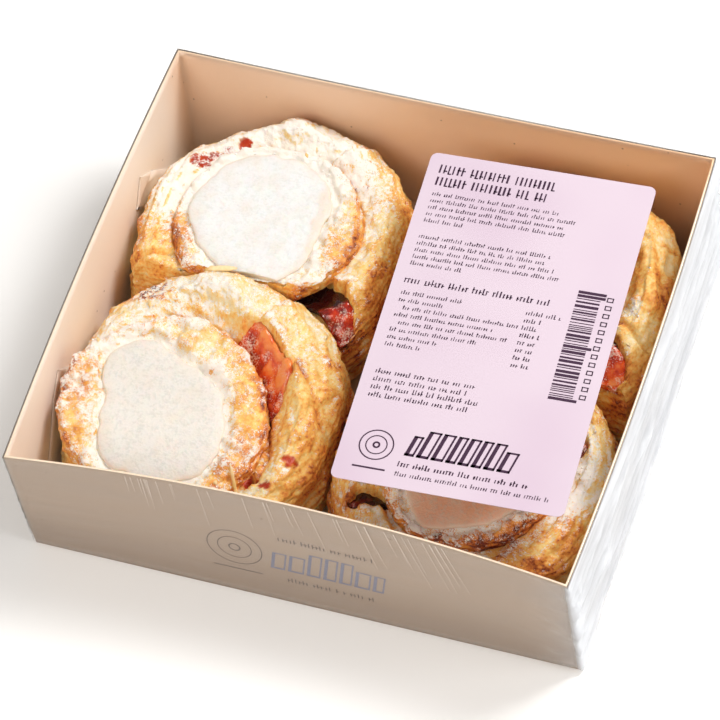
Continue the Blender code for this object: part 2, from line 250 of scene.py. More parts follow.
def pastryMaterial(name):
    # Laminated puff pastry, egg washed and oven baked, then dusted with icing sugar: thin crisp
    # layers go from cream to deep golden and brown on the raised edges, with a weak egg gloss,
    # and the sugar lies matt white in grains and clumps on what faces up.
    material, tree = newMaterial(name)
    f = pastryFinish
    place = addNode(tree, "TexCoord").outputs["Object"]
    bake = addNode(tree, "Attribute", attribute_name="bake").outputs["Fac"]
    sugar = addNode(tree, "Attribute", attribute_name="sugar").outputs["Fac"]
    wet = addNode(tree, "Attribute", attribute_name="wet").outputs["Fac"]
    patches = addNode(tree, "TexNoise", {"Vector": place, "Scale": spread(f["patch"]), "Detail": 5.0,
                                         "Roughness": 0.62}).outputs["Fac"]
    blisters = addNode(tree, "TexNoise", {"Vector": place, "Scale": spread(f["blister"]), "Detail": 3.0,
                                          "Roughness": 0.6}).outputs["Fac"]
    grains = addNode(tree, "TexNoise", {"Vector": place, "Scale": spread(f["grain"]), "Detail": 2.0,
                                        "Roughness": 0.7}).outputs["Fac"]
    clumps = addNode(tree, "TexNoise", {"Vector": place, "Scale": spread(f["clump"]), "Detail": 3.0,
                                        "Roughness": 0.65}).outputs["Fac"]
    veins = addNode(tree, "TexNoise", {"Vector": place, "Scale": spread(f["vein"]), "Detail": 4.0,
                                       "Gain": 1.6}, noise_type="RIDGED_MULTIFRACTAL").outputs["Fac"]
    # how brown: the mesh's own bake, shifted by patches, blisters and the edges of torn layers
    patchShift = addNode(tree, "Math", {0: patches, 1: 0.85, 2: -0.425}, operation="MULTIPLY_ADD")
    blisterShift = addNode(tree, "Math", {0: blisters, 1: 0.5, 2: -0.25}, operation="MULTIPLY_ADD")
    veined = addNode(tree, "MapRange", {"Value": veins, "From Min": 0.55, "From Max": 1.3, "To Min": -0.07,
                                        "To Max": 0.26})
    coarse = addNode(tree, "Math", {0: patchShift.outputs[0], 1: veined.outputs[0]}, operation="ADD")
    shift = addNode(tree, "Math", {0: coarse.outputs[0], 1: blisterShift.outputs[0]}, operation="ADD")
    baked = addNode(tree, "Math", {0: bake, 1: shift.outputs[0]}, operation="ADD", use_clamp=True)
    dough = addNode(tree, "ValToRGB", {"Fac": baked.outputs[0]}, stops=f["bakeColours"])
    juice = addNode(tree, "ValToRGB", {"Fac": patches}, stops=f["jamColours"])
    stained = addNode(tree, "Mix", {0: wet, 6: dough.outputs[0], 7: juice.outputs[0]}, data_type="RGBA")
    # how much sugar lies there: grains in clumps, with torn edges left bare
    grainShift = addNode(tree, "Math", {0: grains, 1: 1.7, 2: -0.85}, operation="MULTIPLY_ADD")
    clumpShift = addNode(tree, "Math", {0: clumps, 1: 1.5, 2: -0.75}, operation="MULTIPLY_ADD")
    both = addNode(tree, "Math", {0: grainShift.outputs[0], 1: clumpShift.outputs[0]}, operation="ADD")
    bare = addNode(tree, "MapRange", {"Value": veins, "From Min": 0.80, "From Max": 1.45, "To Min": 0.04,
                                      "To Max": -0.42})
    level = addNode(tree, "Math", {0: sugar, 1: bare.outputs[0]}, operation="ADD")
    lying = addNode(tree, "Math", {0: level.outputs[0], 1: both.outputs[0]}, operation="ADD")
    cover = addNode(tree, "MapRange", {"Value": lying.outputs[0], "From Min": 0.34, "From Max": 0.70,
                                       "To Min": 0.0, "To Max": 0.94}, interpolation_type="SMOOTHSTEP")
    colour = addNode(tree, "Mix", {0: cover.outputs[0], 6: stained.outputs[2],
                                   7: hexColour(f["sugarColour"])}, data_type="RGBA")
    gloss = addNode(tree, "MapRange", {"Value": cover.outputs[0], "To Min": f["glossRoughness"],
                                       "To Max": f["sugarRoughness"]})
    wetness = addNode(tree, "Mix", {0: wet, 2: gloss.outputs[0], 3: f["wetRoughness"]}, data_type="FLOAT")
    relief = addNode(tree, "Math", {0: cover.outputs[0], 1: grains}, operation="MULTIPLY")
    ruffled = addNode(tree, "Math", {0: veins, 1: blisters}, operation="ADD")
    crumb = addNode(tree, "Bump", {"Height": ruffled.outputs[0], "Strength": 0.7, "Distance": 0.0005})
    sugared = addNode(tree, "Bump", {"Height": relief.outputs[0], "Strength": 0.5, "Distance": 0.0003,
                                     "Normal": crumb.outputs[0]})
    shader = addNode(tree, "BsdfPrincipled", {
        "Base Color": colour.outputs[2], "Roughness": wetness.outputs[0], "IOR": 1.45,
        "Normal": sugared.outputs[0], "Subsurface Weight": 0.10, "Subsurface Scale": 0.0012,
        "Specular IOR Level": 0.4})
    addNode(tree, "OutputMaterial", {"Surface": shader.outputs[0]})
    return material


icingFinish = {
    "thin": "#EBDCCB", "pit": "#CFD0CA",
    # millimetres between sugar crystals, which are drawn coarser than real ones so that they show,
    # between groups of pits, and between cloudy places
    "grain": 0.8, "pits": 1.9, "cloud": 7.0,
    "roughness": 0.5, "sheen": 0.1,
}


def icingMaterial(name, white, speckled):
    # Poured sugar fondant that has set: a smooth skin with fine sugar crystals in it, a little
    # light passing in, cream coloured and clearer where it runs thin at its edge.
    material, tree = newMaterial(name)
    f = icingFinish
    place = addNode(tree, "TexCoord").outputs["Object"]
    edge = addNode(tree, "Attribute", attribute_name="edge").outputs["Fac"]
    grains = addNode(tree, "TexNoise", {"Vector": place, "Scale": spread(f["grain"]),
                                        "Detail": 2.0}).outputs["Fac"]
    clouds = addNode(tree, "TexNoise", {"Vector": place, "Scale": spread(f["cloud"]),
                                        "Detail": 2.0}).outputs["Fac"]
    pits = addNode(tree, "TexNoise", {"Vector": place, "Scale": spread(f["pits"]),
                                      "Detail": 3.0}).outputs["Fac"]
    pitted = addNode(tree, "Math", {0: grains, 1: pits}, operation="MULTIPLY")
    speckle = addNode(tree, "MapRange", {"Value": pitted.outputs[0], "From Min": 0.22, "From Max": 0.36,
                                         "To Max": speckled})
    mottled = addNode(tree, "Mix", {0: speckle.outputs[0], 6: hexColour(white), 7: hexColour(f["pit"])},
                      data_type="RGBA")
    cloudy = addNode(tree, "MapRange", {"Value": clouds, "From Min": 0.45, "From Max": 0.75, "To Max": 0.30})
    thinner = addNode(tree, "Math", {0: edge, 1: cloudy.outputs[0]}, operation="ADD", use_clamp=True)
    colour = addNode(tree, "Mix", {0: thinner.outputs[0], 6: mottled.outputs[2], 7: hexColour(f["thin"])},
                     data_type="RGBA")
    bumps = addNode(tree, "Bump", {"Height": pitted.outputs[0], "Strength": 0.7, "Distance": 0.0005})
    shader = addNode(tree, "BsdfPrincipled", {
        "Base Color": colour.outputs[2], "Roughness": f["roughness"], "IOR": 1.49,
        "Normal": bumps.outputs[0], "Subsurface Weight": 0.25, "Subsurface Scale": 0.0016,
        "Coat Weight": f["sheen"], "Coat Roughness": 0.3})
    addNode(tree, "OutputMaterial", {"Surface": shader.outputs[0]})
    return material


jamFinish = {
    # from deep, and in painted shade, to thin
    "colours": [(0.0, "#350805"), (0.28, "#7E170C"), (0.5, "#BE2C10"), (0.74, "#E4551F"),
                (1.0, "#F4904A")],
    # how much sugar shows on it, from deep and in painted shade, where none shows, to thin
    "grains": [(0.12, "#000000"), (0.38, "#E8E8E8"), (0.72, "#E0E0E0"), (0.95, "#707070")],
    "sugarColour": "#F8DCCB",
    # millimetres between pieces of fruit, grains of sugar and drifts of them
    "lump": 3.0, "sugar": 0.55, "drift": 4.5,
    "roughness": 0.14, "sugarRoughness": 0.6,
}


def jamMaterial(name):
    # Boiled apple jam: a clear red gel with soft fruit in it, wet and glossy, dark where it is deep and
    # orange where it is thin, drawn dimmer still as painted shade beside the lid and in its recesses, with a
    # few grains of sugar on it.
    material, tree = newMaterial(name)
    f = jamFinish
    place = addNode(tree, "TexCoord").outputs["Object"]
    thinnessAndPaintedShade = addNode(tree, "Attribute", attribute_name="thinnessAndPaintedShade").outputs["Fac"]
    lumps = addNode(tree, "TexNoise", {"Vector": place, "Scale": spread(f["lump"]),
                                       "Detail": 3.0}).outputs["Fac"]
    crystals = addNode(tree, "TexNoise", {"Vector": place, "Scale": spread(f["sugar"]),
                                          "Detail": 2.0}).outputs["Fac"]
    drifts = addNode(tree, "TexNoise", {"Vector": place, "Scale": spread(f["drift"]),
                                        "Detail": 2.0}).outputs["Fac"]
    shift = addNode(tree, "Math", {0: lumps, 1: 1.3, 2: -0.65}, operation="MULTIPLY_ADD")
    depth = addNode(tree, "Math", {0: thinnessAndPaintedShade, 1: shift.outputs[0]}, operation="ADD", use_clamp=True)
    gel = addNode(tree, "ValToRGB", {"Fac": depth.outputs[0]}, stops=f["colours"])
    both = addNode(tree, "Math", {0: crystals, 1: drifts}, operation="MULTIPLY")
    sugarByDepthAndShade = addNode(tree, "ValToRGB", {"Fac": thinnessAndPaintedShade}, stops=f["grains"])
    sprinkled = addNode(tree, "MapRange", {"Value": both.outputs[0], "From Min": 0.25, "From Max": 0.36,
                                           "To Max": sugarByDepthAndShade.outputs[0]})
    colour = addNode(tree, "Mix", {0: sprinkled.outputs[0], 6: gel.outputs[0],
                                   7: hexColour(f["sugarColour"])}, data_type="RGBA")
    rough = addNode(tree, "MapRange", {"Value": sprinkled.outputs[0], "To Min": f["roughness"],
                                       "To Max": f["sugarRoughness"]})
    bumps = addNode(tree, "Bump", {"Height": lumps, "Strength": 0.5, "Distance": 0.0006})
    shader = addNode(tree, "BsdfPrincipled", {
        "Base Color": colour.outputs[2], "Roughness": rough.outputs[0], "IOR": 1.42,
        "Normal": bumps.outputs[0], "Subsurface Weight": 0.25, "Subsurface Scale": 0.002,
        "Coat Weight": 0.5, "Coat Roughness": 0.06})
    addNode(tree, "OutputMaterial", {"Surface": shader.outputs[0]})
    return material


boardFinish = {
    # the outer face is drawn in a dim tone of the same board, as painted shade
    "inside": "#F8ECE0", "outside": "#B3A190", "cut": "#FFEFD8", "flap": "#F4E6D8",
    # the painted bounce light and painted shade that the inner and outer faces drift towards, and the bark
    # specks
    "paintedBounceWarmth": "#F0B47C", "paintedShadeTone": "#8C7868", "bark": "#7A6555",
    # millimetres between clouds of fibre and between specks
    "fibre": 1.6, "speck": 9.0,
    "roughness": 0.46,
}


def boardMaterial(name, face, paintedTone=boardFinish["paintedBounceWarmth"]):
    # Folding boxboard, pressed from wood fibre and clay coated: matt with a faint sheen, a soft
    # cloud of fibre under the coating and a rare dark bark speck.
    material, tree = newMaterial(name)
    f = boardFinish
    place = addNode(tree, "TexCoord").outputs["Object"]
    fibres = addNode(tree, "TexNoise", {"Vector": place, "Scale": spread(f["fibre"]), "Detail": 4.0,
                                        "Roughness": 0.6}).outputs["Fac"]
    tint = addNode(tree, "MapRange", {"Value": fibres, "To Min": -0.035, "To Max": 0.035})
    value = addNode(tree, "Math", {0: tint.outputs[0], 1: 1.0}, operation="ADD")
    clouded = addNode(tree, "HueSaturation", {"Value": value.outputs[0], "Color": hexColour(face)})
    cells = addNode(tree, "TexVoronoi", {"Vector": place, "Scale": spread(f["speck"])}, feature="F1")
    specks = addNode(tree, "MapRange", {"Value": cells.outputs["Distance"], "From Min": 0.03,
                                        "From Max": 0.045, "To Min": 0.7, "To Max": 0.0})
    # painted light: the board drifts towards a painted tone, warm bounce light and shade at the back, shade
    # at the foot of the front
    paintedBounceAndShade = addNode(tree, "Attribute", attribute_name="paintedBounceAndShade").outputs["Fac"]
    toned = addNode(tree, "Mix", {0: paintedBounceAndShade, 6: clouded.outputs[0], 7: hexColour(paintedTone)}, data_type="RGBA")
    colour = addNode(tree, "Mix", {0: specks.outputs[0], 6: toned.outputs[2], 7: hexColour(f["bark"])},
                     data_type="RGBA")
    bumps = addNode(tree, "Bump", {"Height": fibres, "Strength": 0.12, "Distance": 0.0001})
    shader = addNode(tree, "BsdfPrincipled", {"Base Color": colour.outputs[2], "Roughness": f["roughness"],
                                              "IOR": 1.5, "Normal": bumps.outputs[0]})
    addNode(tree, "OutputMaterial", {"Surface": shader.outputs[0]})
    return material


# real film has an IOR of 1.5: a lower one stands for a sheet so thin that it hardly dims the food
filmFinish = {"roughness": 0.07, "haze": "#CDCFD3", "crease": "#F3E8DC", "crinkle": 5.0,
              "sheetIor": 1.16, "creaseIor": 1.18, "creaseHaze": 0.66}


def filmMaterial(name, ior, milkColour):
    # Stretched polyolefin wrapping film: clear and very glossy, seen only by its reflections and
    # by the milky lines where it is creased.
    material, tree = newMaterial(name)
    f = filmFinish
    place = addNode(tree, "TexCoord").outputs["Object"]
    haze = addNode(tree, "Attribute", attribute_name="haze").outputs["Fac"]
    crinkles = addNode(tree, "TexNoise", {"Vector": place, "Scale": spread(f["crinkle"]), "Detail": 2.0})
    bumps = addNode(tree, "Bump", {"Height": crinkles.outputs["Fac"], "Strength": 0.10, "Distance": 0.0004})
    clear = addNode(tree, "BsdfTransparent", {"Color": (1.0, 1.0, 1.0, 1.0)})
    gloss = addNode(tree, "BsdfAnisotropic", {"Color": (1.0, 1.0, 1.0, 1.0), "Roughness": f["roughness"],
                                              "Normal": bumps.outputs[0]})
    facing = addNode(tree, "Fresnel", {"IOR": ior, "Normal": bumps.outputs[0]})
    sheet = addNode(tree, "MixShader", {0: facing.outputs[0], 1: clear.outputs[0], 2: gloss.outputs[0]})
    milk = addNode(tree, "BsdfPrincipled", {"Base Color": hexColour(milkColour), "Roughness": 0.3,
                                            "Transmission Weight": 0.0, "Normal": bumps.outputs[0]})
    shader = addNode(tree, "MixShader", {0: haze, 1: sheet.outputs[0], 2: milk.outputs[0]})
    addNode(tree, "OutputMaterial", {"Surface": shader.outputs[0]})
    return material


paperFinish = {"face": "#D6C5D2", "cloudy": "#CFBBCB", "fibre": 1.2, "cloud": 38.0, "roughness": 0.42}


def paperMaterial(name):
    # Self adhesive label paper, calendered: smooth pale pink, a trace of fibre and a soft sheen.
    material, tree = newMaterial(name)
    f = paperFinish
    place = addNode(tree, "TexCoord").outputs["Object"]
    fibres = addNode(tree, "TexNoise", {"Vector": place, "Scale": spread(f["fibre"]),
                                        "Detail": 4.0}).outputs["Fac"]
    clouds = addNode(tree, "TexNoise", {"Vector": place, "Scale": spread(f["cloud"]),
                                        "Detail": 1.0}).outputs["Fac"]
    tint = addNode(tree, "MapRange", {"Value": clouds, "From Min": 0.35, "From Max": 0.7})
    colour = addNode(tree, "Mix", {0: tint.outputs[0], 6: hexColour(f["face"]), 7: hexColour(f["cloudy"])},
                     data_type="RGBA")
    bumps = addNode(tree, "Bump", {"Height": fibres, "Strength": 0.08, "Distance": 0.0001})
    shader = addNode(tree, "BsdfPrincipled", {"Base Color": colour.outputs[2], "Roughness": f["roughness"],
                                              "IOR": 1.5, "Normal": bumps.outputs[0]})
    addNode(tree, "OutputMaterial", {"Surface": shader.outputs[0]})
    return material


def inkMaterial(name, colour, roughness, fibre=0.8):
    # Printed ink: a thin even film of pigment that lets a little of the sheet's fibre through,
    # which shows every 0.8 mm or so.
    material, tree = newMaterial(name)
    place = addNode(tree, "TexCoord").outputs["Object"]
    cover = addNode(tree, "TexNoise", {"Vector": place, "Scale": spread(fibre), "Detail": 2.0}).outputs["Fac"]
    tint = addNode(tree, "MapRange", {"Value": cover, "To Min": 0.9, "To Max": 1.25})
    pigment = addNode(tree, "HueSaturation", {"Value": tint.outputs[0], "Color": hexColour(colour)})
    shader = addNode(tree, "BsdfPrincipled", {"Base Color": pigment.outputs[0], "Roughness": roughness})
    addNode(tree, "OutputMaterial", {"Surface": shader.outputs[0]})
    return material


# Tray

tray = {
    # outer size over the rim, how far the walls lean, and how far their middles bow in or out
    "width": 178.0, "depth": 159.3, "height": 54.5, "board": 0.6,
    "flare": 3.1, "frontBow": 5.7, "backBow": 0.7, "sideBow": 1.8, "gap": 0.3,
    "columns": 60, "rows": 54, "rises": 18,
    # corners of a glue flap on the inside of a short wall, as distance along the wall and height
    "flapLower": [(72.5, 1.2), (45.6, 34.5), (37.8, 41.0)],
    "flapUpper": [(56.0, 1.2), (31.0, 32.7), (37.8, 41.0)],
    "flapThickness": 0.45,
}


def sideReach(b, h):
    return tray["width"] / 2 + tray["sideBow"] * (1 - b * b) * h


def longReach(a, h, front):
    bow = np.where(front, tray["frontBow"], tray["backBow"])
    return tray["depth"] / 2 - tray["flare"] * (1 - h) - bow * (1 - a * a) * h


def boxPoints(a, b, h, grow=0.0):
    # a and b run from -1 to 1 across and along the tray, h from 0 to 1 up its walls
    x = a * (sideReach(b, h) + grow)
    y = b * (longReach(a, h, b < 0) + grow)
    return np.stack((x, y, h * tray["height"]), axis=-1)


def makeTray():
    inside = boardMaterial("clayCoatedBoxboardInside", boardFinish["inside"])
    outside = boardMaterial("clayCoatedBoxboardOutsideInPaintedShade", boardFinish["outside"], boardFinish["paintedShadeTone"])
    cut = boardMaterial("cutBoxboardEdge", boardFinish["cut"])
    columns, rows, rises = tray["columns"], tray["rows"], tray["rises"]
    a = np.linspace(-1, 1, columns + 1)
    b = np.linspace(-1, 1, rows + 1)
    h = np.linspace(0, 1, rises + 1)
    # the walls as rings round the box, from the floor to the rim
    ringA = np.concatenate((a[:-1], np.ones(rows), a[:0:-1], -np.ones(rows)))
    ringB = np.concatenate((-np.ones(columns), b[:-1], np.ones(columns), b[:0:-1]))
    turnA, riseH = np.meshgrid(ringA, h)
    turnB, _ = np.meshgrid(ringB, h)
    walls = boxPoints(turnA, turnB, riseH)
    floorA, floorB = np.meshgrid(a, b)
    floor = boxPoints(floorA, floorB, np.zeros_like(floorA))
    # the floor's own points, then faces that join its edge to the lowest ring of the walls
    points = np.concatenate((walls[1:].reshape(-1, 3), floor.reshape(-1, 3)))
    turns = len(ringA)
    lowest = (rises * turns + np.concatenate((
        np.arange(columns), np.arange(rows) * (columns + 1) + columns,
        rows * (columns + 1) + np.arange(columns, 0, -1), np.arange(rows, 0, -1) * (columns + 1))))
    quads = [gridFaces(rises, turns)[:, ::-1]]
    j = np.arange(turns)
    quads.append(np.stack((j, lowest[j], lowest[(j + 1) % turns], (j + 1) % turns), axis=1))
    inner = gridFaces(rows + 1, columns + 1, closed=False) + rises * turns
    quads.append(inner)
    quads = np.concatenate(quads)
    # painted light: the board is drawn in a warm tone at the back, as bounce light from the pastries and
    # shade, and in a dim tone towards the foot of the front, as painted shade
    x, y, z = points.T
    back = ease(y, 60, 78) * (0.38 + 0.26 * ease(x, -60, 90))
    paintedBounceAndShade = back + ease(-y, 60, 74) * (0.10 + 0.45 * ease(-z, -32, 0))
    piece = finishMesh("boardTray", points, quads.ravel(), np.arange(len(quads)) * 4, outside,
                       fields={"paintedBounceAndShade": paintedBounceAndShade}, smooth=False)
    piece.data.materials.append(cut)
    piece.data.materials.append(inside)
    shell = piece.modifiers.new("boardThickness", "SOLIDIFY")
    shell.thickness = tray["board"] * 0.001
    shell.offset = -1.0
    shell.use_even_offset = True
    shell.material_offset_rim = 1
    shell.material_offset = 2
    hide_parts("tray")

    flapBoard = boardMaterial("clayCoatedGlueFlap", boardFinish["flap"])
    for side in (-1, 1):
        for end in (-1, 1):
            lower = np.array(tray["flapLower"])
            upper = np.array(tray["flapUpper"])
            steps = np.linspace(0, 1, 9)
            along = np.concatenate([mixed(lower[i], lower[i + 1], steps[:, None]) for i in (0, 1)])
            facing = np.concatenate([mixed(upper[i], upper[i + 1], steps[:, None]) for i in (0, 1)])
            shares = np.linspace(0, 1, 7)[:, None, None]
            flat = mixed(along[None], facing[None], shares)
            y = flat[..., 0] * end
            z = flat[..., 1]
            x = side * (sideReach(y / (tray["depth"] / 2), z / tray["height"]) - tray["board"] - 0.12)
            grid = np.stack((x, y, z), axis=-1)
            flap = sheetMesh(f"glueFlap{'LR'[side > 0]}{'FB'[end > 0]}", grid, flapBoard, smooth=False)
            thick = flap.modifiers.new("flapThickness", "SOLIDIFY")
            thick.thickness = tray["flapThickness"] * 0.001
            thick.offset = 1.0 if side * end > 0 else -1.0
    print("tray made")


# Pastries

crustShape = {
    # the same main form as the solid
    "widest": 17.5, "roundness": 2.9, "baseFlatness": 1.14, "lidGrip": 4.0, "flapRise": 12.0,
    "foldHeight": 2.6, "layerPitch": 8.5, "layerRelief": 0.9, "lumpRelief": 1.1,
    "turns": 400, "rings": 140,
    # relief of the baked dough: the size and height of each kind, in millimetres
    "lump": 9.0, "lumpHeight": 0.85, "blister": 5.0, "blisterHeight": 0.8,
    "flakeStep": 0.46, "flakeSize": 7.0, "layers": 2.0, "layerDepth": 0.36,
    "fine": 2.2, "fineHeight": 0.30, "thinFlake": 3.4, "thinStep": 0.30, "ridgeHeight": 1.2,
}
lidShape = {
    "roundness": 3.2, "thickness": 6.2, "turns": 288, "rings": 84,
    # relief of the baked lid: the size and height of each kind, in millimetres
    "lump": 5.2, "lumpHeight": 0.75, "knob": 3.4, "knobHeight": 1.60, "fine": 1.7, "fineHeight": 0.36,
    "flake": 6.0, "flakeHeight": 0.8, "layers": 2.1, "layerDepth": 0.4, "pit": 3.1,
}
icingShape = {"thickness": 1.9, "turns": 180, "rings": 40}
# reach is a share of the pastry's outline, hidden is how much less it is away from the windows
jamShape = {"depth": 6.5, "wall": 0.6, "below": 0.3, "reach": 0.965, "hidden": 0.085,
            "turns": 168, "rings": 54}
# where neighbouring pastries press on each other: the line between front and back ones, and the
# room left between left and right ones and beside the walls
seam = {"leftBase": -3.0, "rightBase": -9.0, "lean": 0.31, "bend": 30.0, "curve": 0.022,
        "middle": 0.8, "wall": 0.6}
